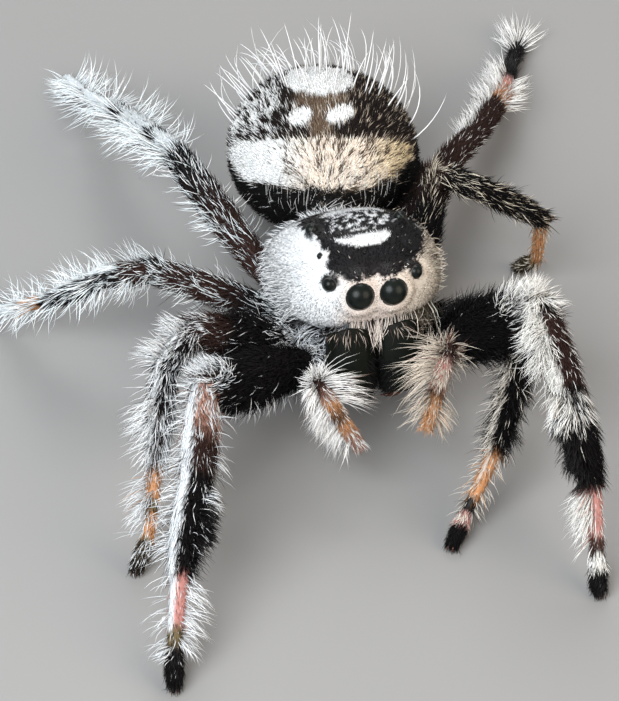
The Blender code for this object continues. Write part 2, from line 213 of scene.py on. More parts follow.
# %% Make a material and use the grain in it
def material_with(name, roughness, **sockets):
    """A material with its Principled shader and sockets set to plain numbers."""
    made = bpy.data.materials.new(name)
    made.use_nodes = True
    shader = made.node_tree.nodes["Principled BSDF"]
    shader.inputs["Roughness"].default_value = roughness
    for socket_name, value in sockets.items():
        shader.inputs[socket_name.replace("_", " ")].default_value = value
    return made, made.node_tree, shader


def use_grain(tree, shader, size, strength, depth, detail=2.0):
    """Place the grain group in a material and feed its height to the shader's normal."""
    grain = add_node(tree, "ShaderNodeGroup", node_tree=grain_group)
    grain.inputs["Size mm"].default_value = size
    grain.inputs["Detail"].default_value = detail
    bump = add_node(tree, "ShaderNodeBump")
    bump.inputs["Strength"].default_value = strength
    bump.inputs["Distance"].default_value = depth * MM
    tree.links.new(grain.outputs["Height"], bump.inputs["Height"])
    tree.links.new(bump.outputs["Normal"], shader.inputs["Normal"])
    return grain


print("grain goes into a material by its size, strength and depth in mm")

# %% [markdown]
# Three materials cover the animal: matt skin, short fur that scatters light softly, and
# long hairs that shine more. All three are made by one function, with their own numbers.

# %% Skin and hair
def varied(tree, colour, mask, spread):
    """Make a colour lighter and darker by the spread, where the mask says."""
    amount = add_node(tree, "ShaderNodeMapRange")
    amount.inputs["To Min"].default_value = 1.0 - spread
    amount.inputs["To Max"].default_value = 1.0 + spread
    tree.links.new(mask, amount.inputs["Value"])
    mix = add_node(tree, "ShaderNodeMix", data_type="RGBA", blend_type="MULTIPLY")
    mix.inputs["Factor"].default_value = 1.0
    tree.links.new(colour, mix.inputs["A"])
    tree.links.new(amount.outputs["Result"], mix.inputs["B"])
    return mix.outputs["Result"]


FULLY_PALE = 0.4            # a tint as light as this has the pale roughness


def tinted(name, dark_roughness, pale_roughness, grain_size, grain_depth, spread, **sockets):
    """A material coloured by the tint attribute, glossier where the tint is dark."""
    made, tree, shader = material_with(name, pale_roughness, **sockets)
    tint = add_node(tree, "ShaderNodeAttribute", attribute_name="tint")
    grain = use_grain(tree, shader, grain_size, 0.6, grain_depth)
    colour = varied(tree, tint.outputs["Color"], grain.outputs["Mask"], spread)
    tree.links.new(colour, shader.inputs["Base Color"])
    gloss = add_node(tree, "ShaderNodeMapRange")
    gloss.inputs["From Max"].default_value = FULLY_PALE
    gloss.inputs["To Min"].default_value = dark_roughness
    gloss.inputs["To Max"].default_value = pale_roughness
    tree.links.new(tint.outputs["Fac"], gloss.inputs["Value"])
    tree.links.new(gloss.outputs["Result"], shader.inputs["Roughness"])
    return made


SKIN = tinted("spider_skin", 0.42, 0.62, 0.11, 0.020, 0.18, Specular_IOR_Level=0.12)
SHORT_HAIR = tinted("short_hair", 0.55, 0.70, 0.30, 0.004, 0.10, Specular_IOR_Level=0.035)
LONG_HAIR = tinted("long_hair", 0.38, 0.48, 0.40, 0.004, 0.08, Specular_IOR_Level=0.16)
print("materials:", [m.name for m in (SKIN, SHORT_HAIR, LONG_HAIR)])

# %% [markdown]
# ## Floor
# The spider is shown on a plain pale floor, so that nothing competes with its markings.
# One large plane is enough. It is greyer than white paper, or the white fringes of the
# legs would be lost against it.

# %% Floor
FLOOR_WIDTH = 3000.0
FLOOR_GREY = (0.232, 0.228, 0.224, 1.0)

sheet = bmesh.new()
bmesh.ops.create_grid(sheet, x_segments=1, y_segments=1, size=FLOOR_WIDTH / 2 * MM)
floor_mesh = bpy.data.meshes.new("floor")
sheet.to_mesh(floor_mesh)
sheet.free()
floor = add_to_scene("floor", floor_mesh)
floor_material, floor_tree, floor_shader = material_with("pale_floor", 0.75)
floor_shader.inputs["Base Color"].default_value = FLOOR_GREY
use_grain(floor_tree, floor_shader, 1.5, 0.15, 0.02, detail=1.0)
floor_mesh.materials.append(floor_material)
print("floor", FLOOR_WIDTH, "mm wide")

# %% [markdown]
# ## Where the body parts lie
# The coat has to follow the body: hairs on a leg point to its foot, and the markings sit
# at a place along it. The CAD nodes say where each part is. A leg segment is long and
# round, so the main direction of its points is its axis, and the two ends of the points
# along that axis are its joints. The head and the abdomen get a frame each.

# %% Points and ends of a CAD node
SEGMENTS = ("femur", "patella", "tibia", "metatarsus", "tarsus")
PALP_SEGMENTS = ("femur", "tarsus")
BODY_PARTS = ("carapace", "sternum", "abdomen", "spinnerets")
EYE_NODES = [name for name in frame["nodes"] if name.startswith("eye_")]
UP = np.array((0.0, 0.0, 1.0))


def points_of(name):
    """The points of a CAD node, in millimetres."""
    mesh = frame["nodes"][name].data
    flat = np.empty(len(mesh.vertices) * 3, np.float32)
    mesh.vertices.foreach_get("co", flat)
    return flat.reshape(-1, 3).astype(float) / MM


def unit(vectors):
    """The same directions, each made one long."""
    return vectors / np.maximum(np.linalg.norm(vectors, axis=-1, keepdims=True), 1e-9)


def across(vectors, normals):
    """The part of each vector that lies across the normal, made one long."""
    return unit(vectors - normals * (vectors * normals).sum(-1, keepdims=True))


def ends_of(name, near):
    """The two ends of a long node, the one nearest to the given point first."""
    points = np.unique(points_of(name).round(4), axis=0)
    middle = points.mean(0)
    axis = np.linalg.svd(points - middle)[2][0]
    along = (points - middle) @ axis
    ends = [middle + axis * along.min(), middle + axis * along.max()]
    return sorted(ends, key=lambda end: np.linalg.norm(end - near))


print("segments of a leg:", len(SEGMENTS), "and of a palp:", len(PALP_SEGMENTS))

# %% Legs and palps
limbs = {}
sternum_middle = points_of("sternum").mean(0)


def add_limb(limb, segments):
    """Store each segment's start, end and axis, and a dorsal direction carried along them."""
    dorsal, near = UP, sternum_middle
    for index, segment in enumerate(segments):
        name = f"{limb}_{segment}"
        start, end = ends_of(name, near)
        axis = unit(end - start)
        dorsal = across(dorsal, axis)
        limbs[name] = {"limb": limb, "index": index, "start": start, "end": end, "axis": axis,
                       "length": np.linalg.norm(end - start), "dorsal": dorsal,
                       "lateral": np.cross(axis, dorsal)}
        near = end


for side in SIDES:
    for number in (1, 2, 3, 4):
        add_limb(f"leg_{number}_{side}", SEGMENTS)
    add_limb(f"palp_{side}", PALP_SEGMENTS)
print("limb segments:", len(limbs))

# %% [markdown]
# The head is tipped up and the abdomen is swung to the left with its rear low. Markings
# are easiest to place in a frame that is turned with the part: x across, y from front
# to back, z up. For each part we keep the turn and the origin, and one function takes
# points into the frame.

# %% Frames of the head and the abdomen
HEAD_PITCH = math.radians(13.0)
ABDOMEN_SLOPE = math.radians(15.0)
ABDOMEN_TURN = math.radians(14.0)
ABDOMEN_HALF_LENGTH = 3.65          # its front is hollowed where it meets the carapace
FRONT_EYES_IN_HEAD = np.array((0.0, -2.72, 1.40))   # the point between the two big eyes


def middle_of(name):
    """The middle of a node's box, in millimetres."""
    low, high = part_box(name)
    return np.array(low + high) / 2 / MM


head_turn = np.array(Matrix.Rotation(-HEAD_PITCH, 3, "X"))
front_eyes = (middle_of("eye_front_middle_left") + middle_of("eye_front_middle_right")) / 2
head_origin = front_eyes - head_turn @ FRONT_EYES_IN_HEAD

abdomen_turn = np.array(Matrix.Rotation(-ABDOMEN_TURN, 3, "Z") @ Matrix.Rotation(-ABDOMEN_SLOPE, 3, "X"))
turned = points_of("abdomen") @ abdomen_turn
abdomen_half = np.array((np.ptp(turned[:, 0]) / 2, ABDOMEN_HALF_LENGTH, np.ptp(turned[:, 2]) / 2))
abdomen_middle = (turned.max(0) + turned.min(0)) / 2
abdomen_middle[1] = turned[:, 1].max() - ABDOMEN_HALF_LENGTH
abdomen_origin = abdomen_turn @ abdomen_middle


def in_head(points):
    """The points as seen in the head's frame."""
    return (points - head_origin) @ head_turn


def in_abdomen(points):
    """The points as seen in the abdomen's frame."""
    return (points - abdomen_origin) @ abdomen_turn


print("head origin", head_origin.round(2), "abdomen origin", abdomen_origin.round(2))

# %% [markdown]
# ## One skin
# The CAD parts the body with thin cuts. The real spider has one skin, so the flesh nodes
# are copied into one mesh, stretched a little until the cuts close, and remeshed with
# voxels, which melts them together. Limbs are stretched only along themselves, or two
# legs that pass close by would melt into one. Smoothing takes the steps and facets
# away. Then every point moves inwards by the coat's depth there, so that the hairs reach
# the CAD's outline.

# %% Welded copy of the flesh
WELD_DISTANCE = 0.002

flesh = [name for name in sorted(frame["nodes"]) if name in limbs or name in BODY_PARTS]
skin_names = flesh + EYE_NODES


def weld(shape):
    """Take copied CAD triangles to millimetres and join them along their edges."""
    bmesh.ops.scale(shape, verts=shape.verts, vec=(1 / MM, 1 / MM, 1 / MM))
    bmesh.ops.remove_doubles(shape, verts=shape.verts, dist=WELD_DISTANCE)


welded = bmesh.new()
owner_layer = welded.faces.layers.int.new("owner")
for number, name in enumerate(skin_names):
    before = len(welded.faces)
    welded.from_mesh(frame["nodes"][name].data)
    welded.faces.ensure_lookup_table()
    for face in welded.faces[before:]:
        face[owner_layer] = number
weld(welded)
welded.normal_update()
welded.faces.ensure_lookup_table()
flesh_tree = BVHTree.FromBMesh(welded)
face_owner = [face[owner_layer] for face in welded.faces]
print("welded flesh:", len(welded.faces), "faces")

# %% Close the cuts
BODY_SWELL = 0.07       # closes the cuts between the body's solids
LIMB_STRETCH = 0.09     # closes the cuts across the limbs
END_SHARE = 0.35        # the stretch grows over this share of a segment at each end
FULL_STRETCH = 0.05     # and is whole within this share of the very end


def end_pull(from_end):
    """0 in the middle of a segment and 1 near its end, given the share of it left."""
    return min(max((END_SHARE - from_end) / (END_SHARE - FULL_STRETCH), 0.0), 1.0)


for vert in welded.verts:
    name = skin_names[vert.link_faces[0][owner_layer]]
    if name in limbs:
        limb = limbs[name]
        share = float((np.array(vert.co) - limb["start"]) @ limb["axis"]) / limb["length"]
        pull = 0.0 if name.endswith("tarsus") else end_pull(1.0 - share)
        vert.co += Vector(limb["axis"]) * LIMB_STRETCH * (pull - end_pull(share))
    else:
        vert.co += vert.normal * BODY_SWELL
print("cuts closed by", BODY_SWELL, "and", LIMB_STRETCH, "mm")

# %% Melt the pieces into one with voxels
SKIN_VOXEL = 0.09
SKIN_SMOOTHING = 8


def melted(shape, voxel, smoothing):
    """A bmesh melted into one closed mesh with voxels, then smoothed. The bmesh is freed."""
    mesh = bpy.data.meshes.new("melting")
    shape.to_mesh(mesh)
    shape.free()
    holder = add_to_scene("melting", mesh)
    melt = holder.modifiers.new("melt", "REMESH")
    melt.mode = "VOXEL"
    melt.voxel_size = voxel
    relax = holder.modifiers.new("relax", "SMOOTH")
    relax.factor = 0.5
    relax.iterations = smoothing
    depsgraph = bpy.context.evaluated_depsgraph_get()
    done = bpy.data.meshes.new_from_object(holder.evaluated_get(depsgraph))
    bpy.data.objects.remove(holder)
    bpy.data.meshes.remove(mesh)
    return done


skin_mesh = melted(welded, SKIN_VOXEL, SKIN_SMOOTHING)
skin_mesh.name = "skin"
print("skin:", len(skin_mesh.vertices), "points,", len(skin_mesh.polygons), "faces")

# %% [markdown]
# The skin's points are worked on as arrays, which is fast. The nearest CAD face says
# which part a point belongs to, and each part has a coat of its own depth.

# %% Which part owns each point of the skin
COAT_DEPTH = {"carapace": 0.10, "sternum": 0.12, "abdomen": 0.17, "spinnerets": 0.08, "palp": 0.10,
              "femur": 0.12, "patella": 0.13, "tibia": 0.13, "metatarsus": 0.09, "tarsus": 0.08}


def mesh_array(collection, attribute, width, kind=np.float32):
    """One of a mesh's attributes as an array with so many numbers in a row."""
    flat = np.empty(len(collection) * width, kind)
    collection.foreach_get(attribute, flat)
    return flat.reshape(-1, width)


def part_of(name):
    """The part whose coat a node wears."""
    if name.startswith("eye"):
        return "carapace"
    return name.split("_")[-1] if name.startswith("leg") else name.split("_")[0]


skin_points = mesh_array(skin_mesh.vertices, "co", 3).astype(float)
skin_owner = np.array([face_owner[flesh_tree.find_nearest(Vector(p))[2]] for p in skin_points])
on_body = np.array([name not in limbs for name in skin_names])[skin_owner]
print("points on the body:", int(on_body.sum()), "and on the limbs:", int((~on_body).sum()))

# %% [markdown]
# The head and abdomen are smoothed further than the thin legs, because their facets are
# wider. The depth that each point will sink is evened out too, where two parts meet.

# %% Smooth the body and the depth of the coat
BODY_ROUNDS = 30
DEPTH_ROUNDS = 6

edges = mesh_array(skin_mesh.edges, "vertices", 2, np.int32)
edge_count = np.maximum(np.bincount(edges.ravel(), minlength=len(skin_points)), 1)


def averaged(values):
    """The mean of each point's neighbours along the mesh's edges."""
    total = np.bincount(edges[:, 0], values[edges[:, 1]], len(values))
    total += np.bincount(edges[:, 1], values[edges[:, 0]], len(values))
    return total / edge_count


for _ in range(BODY_ROUNDS):
    for axis in range(3):
        smoothed = (skin_points[:, axis] + averaged(skin_points[:, axis])) / 2
        skin_points[on_body, axis] = smoothed[on_body]
inset = np.array([COAT_DEPTH[part_of(name)] + (0.0 if name in limbs else BODY_SWELL)
                  for name in skin_names])[skin_owner]
for _ in range(DEPTH_ROUNDS):
    inset = (inset + averaged(inset)) / 2
print("the skin sinks", inset.min().round(2), "to", inset.max().round(2), "mm")

# %% [markdown]
# An eye's glass is a whole ball, but only a low dome of it may show. Round each eye the
# skin is drawn out along the line of sight, up to the eye's seat, like a soft collar.

# %% Seats of the eyes
# For each kind of eye: its line of sight in the head's frame, how far ahead of the eye's
# middle its seat lies, and how wide the collar is, both as shares of the eye's radius.
EYE_KINDS = {"eye_front_middle": ((0.05, -1.0, 0.15), 0.30, 0.85),
             "eye_front_side": ((0.45, -0.85, 0.25), 0.30, 0.75),
             "eye_small": ((0.85, -0.15, 0.50), 0.15, 0.60),
             "eye_rear": ((0.80, 0.15, 0.58), 0.30, 0.75)}
eye_middle, eye_radius, eye_look, eye_seat, eye_opening = {}, {}, {}, {}, {}
for name in EYE_NODES:
    sight, ahead, collar = EYE_KINDS[name.rsplit("_", 1)[0]]
    low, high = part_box(name)
    eye_middle[name] = middle_of(name)
    eye_radius[name] = (high[2] - low[2]) / 2 / MM
    eye_look[name] = unit(head_turn @ (np.array(sight) * (SIDES[name.rsplit("_", 1)[1]], 1, 1)))
    eye_seat[name] = eye_radius[name] * ahead
    eye_opening[name] = eye_radius[name] * math.sqrt(1 - ahead ** 2)


def seated(points):
    """The same points, with those round an eye drawn out to the eye's seat."""
    for name in EYE_NODES:
        offset = points - eye_middle[name]
        height = offset @ eye_look[name]
        reach = np.linalg.norm(offset - height[:, None] * eye_look[name], axis=1)
        collar = eye_radius[name] * EYE_KINDS[name.rsplit("_", 1)[0]][2]
        fade = np.clip((eye_opening[name] + collar - reach) / (collar * 0.8), 0, 1)
        fade = fade * fade * (3 - 2 * fade) * (height > -eye_radius[name])
        points = points + (np.maximum(eye_seat[name] - height, 0) * fade)[:, None] * eye_look[name]
    return points


print("eye radii:", {name: round(radius, 2) for name, radius in eye_radius.items()})

# %% Draw the skin in and make its object
FLOOR_CLEARANCE = 0.006


def set_points(mesh, points):
    """Move a mesh's points to these places."""
    mesh.vertices.foreach_set("co", np.asarray(points, np.float32).ravel())
    mesh.update()


set_points(skin_mesh, skin_points)
skin_points = seated(skin_points - mesh_array(skin_mesh.vertices, "normal", 3) * inset[:, None])
skin_points[:, 2] = np.maximum(skin_points[:, 2], FLOOR_CLEARANCE)
set_points(skin_mesh, skin_points * MM)
skin_mesh.shade_smooth()
skin_mesh.materials.clear()
skin_mesh.materials.append(SKIN)
skin = add_to_scene("skin", skin_mesh)
skin_normals = mesh_array(skin_mesh.vertices, "normal", 3).astype(float)
skin_mesh.calc_loop_triangles()
skin_triangles = mesh_array(skin_mesh.loop_triangles, "vertices", 3, np.int32)
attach(skin, "root")
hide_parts(*flesh)
print("skin triangles:", len(skin_triangles))

# %% [markdown]
# ## Markings
# One function gives the markings at any point of any part: how many of the hairs there
# are pale, and the colours of the skin, of the dark hairs and of the pale hairs. The skin
# and every hair ask the same function, so they always agree. Soft steps and a simple
# noise give the borders their ragged look. Colours are linear red, green and blue.

# %% Soft steps and noise
def soft_step(value, low, high):
    """0 below low, 1 above high, and a smooth rise between them. High may be the smaller."""
    t = np.clip((value - low) / (high - low), 0, 1)
    return t * t * (3 - 2 * t)


def blend(a, b, share):
    """Colours a turned into colours b by the share. Either may be one colour for all points."""
    a, b = np.asarray(a, float), np.asarray(b, float)
    return a + (b - a) * np.asarray(share, float)[..., None]


def noise(points, size, seed=0):
    """Smooth random values from 0 to 1 in lumps of about that size."""
    cell = np.floor(points / size).astype(np.int64)
    t = points / size - cell
    t = t * t * (3 - 2 * t)
    total = np.zeros(len(points))
    for corner in np.ndindex(2, 2, 2):
        at = cell + np.array(corner)
        mixed = (at[:, 0] * 73856093) ^ (at[:, 1] * 19349663) ^ (at[:, 2] * 83492791)
        mixed ^= seed * 2654435761
        mixed = (mixed ^ (mixed >> 13)) * 1274126177
        value = ((mixed ^ (mixed >> 16)) & 0xFFFF) / 65535.0
        weight = np.prod(np.where(np.array(corner) == 1, t, 1 - t), axis=1)
        total += value * weight
    return total


sample = noise(skin_points, 0.4)
print("noise from", sample.min().round(2), "to", sample.max().round(2))

# %% [markdown]
# Each named tone is one kind of ground: the bare skin's colour and the colour of its dark
# hairs. The pale hairs have a colour of their own on each limb.

# %% Tones
TONES = {
    "black": ((0.008, 0.007, 0.0075), (0.0085, 0.0075, 0.008)),
    "brown": ((0.042, 0.018, 0.015), (0.040, 0.022, 0.018)),
    "peach": ((0.50, 0.27, 0.20), (0.30, 0.16, 0.12)),
    "orange": ((0.46, 0.20, 0.08), (0.61, 0.31, 0.15)),
    "pink": ((0.40, 0.17, 0.15), (0.56, 0.27, 0.24)),
    "olive": ((0.15, 0.11, 0.05), (0.07, 0.055, 0.035)),
    "pale": ((0.60, 0.61, 0.63), (0.30, 0.31, 0.34)),
}
PALE_HAIR = {
    "leg_1_right": (0.88, 0.91, 0.94), "leg_1_left": (0.90, 0.88, 0.84),
    "leg_2_right": (0.88, 0.90, 0.92), "leg_2_left": (0.78, 0.72, 0.64),
    "leg_3_right": (0.86, 0.92, 0.95), "leg_3_left": (0.74, 0.67, 0.55),
    "leg_4_right": (0.86, 0.92, 0.95), "leg_4_left": (0.86, 0.85, 0.83),
    "palp_right": (0.90, 0.88, 0.86), "palp_left": (0.74, 0.65, 0.55),
}
print("tones:", ", ".join(TONES))

# %% [markdown]
# A limb's markings run along it. The measure is the segment's number plus the share of
# its length, so 2.5 is the middle of the tibia. Each entry of a limb's list says: from
# this measure on, this tone and this share of pale hairs, blended into the next entry.
# The right legs of this spider are whiter than the left ones.

# %% Bands along the front legs and the palps
LIMB_BANDS = {
    "leg_1_right": [
        (0.0, "black", 0.0), (0.66, "black", 0.01), (0.82, "black", 0.26), (0.98, "brown", 0.35),
        (1.08, "peach", 0.45), (1.38, "peach", 0.22), (1.58, "brown", 0.14), (1.86, "brown", 0.05),
        (1.92, "black", 0.02), (2.00, "black", 0.03), (2.05, "black", 0.40), (2.25, "black", 0.10),
        (2.97, "black", 0.04), (3.03, "pink", 0.22), (3.68, "pink", 0.20), (3.76, "olive", 0.12),
        (3.97, "olive", 0.15), (4.04, "black", 0.04), (5.0, "black", 0.01)],
    "leg_1_left": [
        (0.0, "black", 0.004), (0.66, "black", 0.01), (0.84, "black", 0.60), (0.98, "black", 0.70),
        (1.10, "black", 0.12), (1.25, "brown", 0.10), (1.88, "brown", 0.06), (1.94, "black", 0.0),
        (2.0, "black", 0.0), (2.04, "black", 0.65), (2.28, "black", 0.42), (2.42, "black", 0.02),
        (2.96, "black", 0.02), (3.03, "pink", 0.40), (3.70, "pink", 0.40), (3.80, "brown", 0.12),
        (3.97, "brown", 0.12), (4.03, "black", 0.85), (4.30, "black", 0.70), (4.42, "black", 0.04),
        (5.0, "black", 0.01)],
    "leg_2_right": [
        (0.0, "black", 0.55), (0.15, "black", 0.40), (0.32, "black", 0.03), (0.62, "black", 0.02),
        (0.74, "brown", 0.05), (1.0, "brown", 0.35), (1.5, "black", 0.40), (2.3, "black", 0.45),
        (2.97, "brown", 0.50), (3.03, "orange", 0.42), (3.45, "orange", 0.38), (3.52, "olive", 0.20),
        (3.62, "olive", 0.20), (3.70, "orange", 0.35), (4.0, "orange", 0.35), (4.08, "olive", 0.30),
        (5.0, "black", 0.15)],
    "leg_2_left": [
        (0.0, "black", 0.06), (0.9, "black", 0.12), (1.2, "black", 0.12), (2.0, "black", 0.08),
        (2.97, "black", 0.06), (3.03, "orange", 0.24), (3.70, "orange", 0.18), (3.78, "black", 0.06),
        (3.98, "black", 0.06), (4.04, "pink", 0.60), (4.25, "pink", 0.45), (4.36, "black", 0.02),
        (5.0, "black", 0.01)],
    "palp_right": [
        (0.0, "black", 0.30), (0.75, "brown", 0.50), (0.95, "brown", 0.45), (1.10, "brown", 0.10),
        (1.22, "peach", 0.35), (1.35, "orange", 0.20), (1.52, "brown", 0.15), (1.62, "orange", 0.30),
        (1.8, "peach", 0.40), (2.0, "peach", 0.45)],
    "palp_left": [
        (0.0, "black", 0.24), (0.60, "brown", 0.36), (0.9, "peach", 0.50), (1.0, "brown", 0.35),
        (1.15, "brown", 0.12), (1.25, "pink", 0.55), (1.48, "peach", 0.50), (1.55, "brown", 0.12),
        (1.64, "orange", 0.35), (2.0, "orange", 0.35)],
}
print("banded so far:", sorted(LIMB_BANDS))

# %% Bands along the rear legs
LIMB_BANDS.update({
    "leg_3_right": [
        (0.0, "black", 0.50), (0.22, "black", 0.10), (0.5, "brown", 0.06), (0.85, "brown", 0.14),
        (0.97, "black", 0.40), (1.12, "black", 0.30), (1.25, "brown", 0.05), (1.60, "brown", 0.04),
        (1.75, "black", 0.22), (3.02, "black", 0.20), (3.08, "orange", 0.08), (3.45, "orange", 0.08),
        (3.65, "pale", 0.85), (5.0, "pale", 0.85)],
    "leg_3_left": [
        (0.0, "black", 0.04), (0.6, "black", 0.06), (0.9, "brown", 0.26), (1.15, "brown", 0.24),
        (1.4, "black", 0.12), (2.97, "black", 0.12), (3.05, "orange", 0.22), (3.90, "orange", 0.22),
        (4.0, "olive", 0.20), (5.0, "olive", 0.16)],
    "leg_4_right": [
        (0.0, "brown", 0.03), (0.35, "brown", 0.10), (0.85, "black", 0.16), (1.0, "black", 0.25),
        (1.06, "pale", 0.70), (1.45, "pale", 0.85), (1.55, "black", 0.12), (1.85, "black", 0.12),
        (1.95, "pale", 0.90), (2.48, "pale", 0.90), (2.58, "black", 0.08), (2.90, "black", 0.08),
        (3.00, "pale", 0.90), (5.0, "pale", 0.95)],
    "leg_4_left": [
        (0.0, "black", 0.05), (1.0, "brown", 0.07), (2.0, "brown", 0.05), (2.62, "brown", 0.05),
        (2.68, "orange", 0.35), (3.25, "pink", 0.40), (3.38, "black", 0.03), (5.0, "black", 0.01)],
})
print("banded limbs:", len(LIMB_BANDS))

# %% Pale lines along the legs
# A pale line along one side: (from, to, sideways direction, width as a share of a half turn).
# It is broken where the bands have no pale hairs at all.
PALE_LINES = {
    "leg_1_right": (0.88, 3.95, (-1.0, 0.0, 0.45), 0.43),
    "leg_1_left": (0.75, 2.38, (-1.0, -0.15, 0.35), 0.52),
    "leg_2_right": (0.85, 3.10, (-0.8, -0.3, 0.5), 0.30),
    "leg_2_left": (1.10, 3.80, (-0.9, -0.4, 0.2), 0.16),
    "leg_3_right": (1.55, 3.08, (0.0, 0.7, 0.7), 0.56),
    "leg_4_right": (1.06, 4.90, (0.0, 0.0, 1.0), 0.26),
    "leg_4_left": (1.80, 3.50, (-0.9, -0.1, 0.4), 0.26),
}
print("limbs with a pale line:", len(PALE_LINES))

# %% Markings of the limbs
LINE_SHARE = 0.97       # share of pale hairs on a pale line
RAGGED = 0.07           # how far a band's border wanders, as a share of a segment
SPECK = 0.16            # size of the clumps of like-coloured hairs


def place_on_limb(name, points):
    """How far along its limb each point lies, and which way out it faces there."""
    limb = limbs[name]
    offset = points - limb["start"]
    along = offset @ limb["axis"]
    out = unit(offset - along[:, None] * limb["axis"])
    return limb["index"] + np.clip(along / limb["length"], 0, 1), out


def tone_between(stops, measure, layer):
    """One layer of the bands' tones, blended from stop to stop: 0 is the skin, 1 dark hair."""
    at = [stop[0] for stop in stops]
    colours = np.array([TONES[stop[1]][layer] for stop in stops])
    return np.stack([np.interp(measure, at, colours[:, c]) for c in range(3)], axis=1)


def limb_markings(name, points):
    """Share of pale hairs, skin colour, dark and pale hair colours for points of a segment."""
    limb = limbs[name]
    measure, out = place_on_limb(name, points)
    measure = measure + (noise(points, SPECK, 1) - 0.5) * RAGGED
    stops = LIMB_BANDS[limb["limb"]]
    share = np.interp(measure, [stop[0] for stop in stops], [stop[2] for stop in stops])
    if limb["limb"] in PALE_LINES:
        first, last, direction, width = PALE_LINES[limb["limb"]]
        facing = out @ across(np.array(direction), limb["axis"])
        edge = math.cos(width * math.pi / 2)
        line = soft_step(facing, edge - 0.25, edge + 0.15) * soft_step(measure, first, first + 0.15)
        line *= soft_step(measure, last, last - 0.2) * soft_step(share, 0.0, 0.015)
        share = np.maximum(share, LINE_SHARE * line)
    ground, dark = tone_between(stops, measure, 0), tone_between(stops, measure, 1)
    return share, ground, dark, PALE_HAIR[limb["limb"]]


print("pale hair on the right front leg:", PALE_HAIR["leg_1_right"])

# %% [markdown]
# The head wears a black patch that holds the upper eyes and a white crescent, and behind
# the crescent black and white are mixed like pepper and salt. The cheeks are white, and
# the face between the eyes is a pinkish cream. The left cheek is a warmer beige, partly its
# own cream and partly painted warm light and shade. Each marking is a small function of a
# point's place in the head's frame.

# %% The black patch of the head
# Half widths of the black patch from front to back: (place, on the right, on the left).
PATCH_HALF_WIDTH = ((-2.5, 1.18, 1.25), (-2.0, 1.18, 1.52), (-1.25, 1.20, 1.85), (-0.5, 1.42, 2.05),
                    (0.2, 1.50, 2.05), (0.7, 1.30, 1.65), (1.1, 0.8, 0.9))
PATCH_FRONT_HEIGHT = 1.90
PATCH_EDGE = 0.05        # how softly the patch ends
SIDE_EYES = [name for name in EYE_NODES if "side" in name or "rear" in name]


def eye_gap(points, names):
    """Distance from each point to the nearest of the named eyes."""
    gaps = [np.linalg.norm(points - eye_middle[name], axis=1) - eye_radius[name] for name in names]
    return np.min(gaps, axis=0)


def black_patch(points, local, wander):
    """1 on the black patch and round the eyes at its corners, and 0 elsewhere."""
    x, y, z = local.T
    along, right_half, left_half = zip(*PATCH_HALF_WIDTH)
    half_width = np.where(x < 0, np.interp(y, along, right_half), np.interp(y, along, left_half))
    ragged = (noise(points * (1, 1, 0.5), 0.055, 9) - 0.5) * 0.16
    patch = soft_step(half_width + wander + ragged - np.abs(x), -PATCH_EDGE, PATCH_EDGE)
    patch *= soft_step(z + wander * 0.3 + ragged, PATCH_FRONT_HEIGHT - PATCH_EDGE,
                       PATCH_FRONT_HEIGHT + PATCH_EDGE)
    brow = soft_step(eye_gap(points, SIDE_EYES), 0.10, 0.05) * soft_step(z, 1.70, 1.80)
    return np.maximum(patch, brow)


print("black patch:", len(PATCH_HALF_WIDTH), "half widths")

# %% White on the black patch
ON_TOP = 2.1             # height in the head's frame above which the top of the head lies
CRESCENT_HALF_WIDTH = 0.84
CRESCENT_HALF_HEIGHT = 0.21
CRESCENT_PLACE = -1.55   # its middle, from front to back


def flecked(share, patch, local, wander):
    """Add white flecks to the rear of the patch, and a broken white thread in front of them."""
    x, y, z = local.T
    streaks = noise(local * (0.55, 0.8, 1.0), 0.060, 3)
    pepper = soft_step(0.96 - np.abs(x + wander - 0.10), -0.1, 0.1) * soft_step(y, -1.06, -0.98)
    from_middle = np.hypot((x - 0.1) / 1.02, np.maximum(y + 0.3, 0) / 1.15)
    pepper *= soft_step(from_middle + wander * 0.5, 1.02, 0.86)
    flecks = soft_step(streaks, 0.58, 0.64) * 0.97
    flecks = np.maximum(flecks, 0.80 * soft_step(y + wander * 0.5, -0.16, 0.04))
    share = share + (flecks - share) * pepper * patch
    thread = soft_step(np.abs(y + 1.14 - 0.10 * x * x), 0.035, 0.015)
    thread *= soft_step(np.abs(x), 0.75, 0.55)
    return np.maximum(share, 0.75 * thread * (z > ON_TOP) * (streaks > 0.38))


def white_crescent(local, wander):
    """1 on the crescent, which is taller on the left."""
    x, y, z = local.T
    bend = CRESCENT_PLACE + 0.17 * (x / 0.8) ** 2
    half_height = CRESCENT_HALF_HEIGHT * np.sqrt(np.clip(1 - (x / CRESCENT_HALF_WIDTH) ** 2, 0, 1))
    inside = half_height * (1 + 0.45 * x) + wander * 0.12 - np.abs(y - bend)
    return soft_step(inside, -0.02, 0.03) * (z > ON_TOP)


print("crescent:", CRESCENT_HALF_WIDTH * 2, "mm wide")

# %% Colours of the head
CRESCENT_WHITE = (0.90, 0.91, 0.92)
FACE_PINK = (0.90, 0.78, 0.71)
CHEEK_WHITE = (0.94, 0.96, 0.98)
# painted warm light and shade: the left cheek's beige is partly its own cream and partly the warmer,
# shaded light on that side
LEFT_CHEEK_CREAM_AND_WARM_SHADE = (0.94, 0.83, 0.71)
CHEEK_GREY = (0.16, 0.18, 0.20)         # dark hairs among the white ones
CHEEK_BROWN = (0.10, 0.08, 0.055)       # dark hairs among the beige ones
PATCH_BLACK = (0.0055, 0.0058, 0.0064)
BROW_BROWN = (0.016, 0.011, 0.009)
HEAD_SKIN = (0.010, 0.009, 0.010)


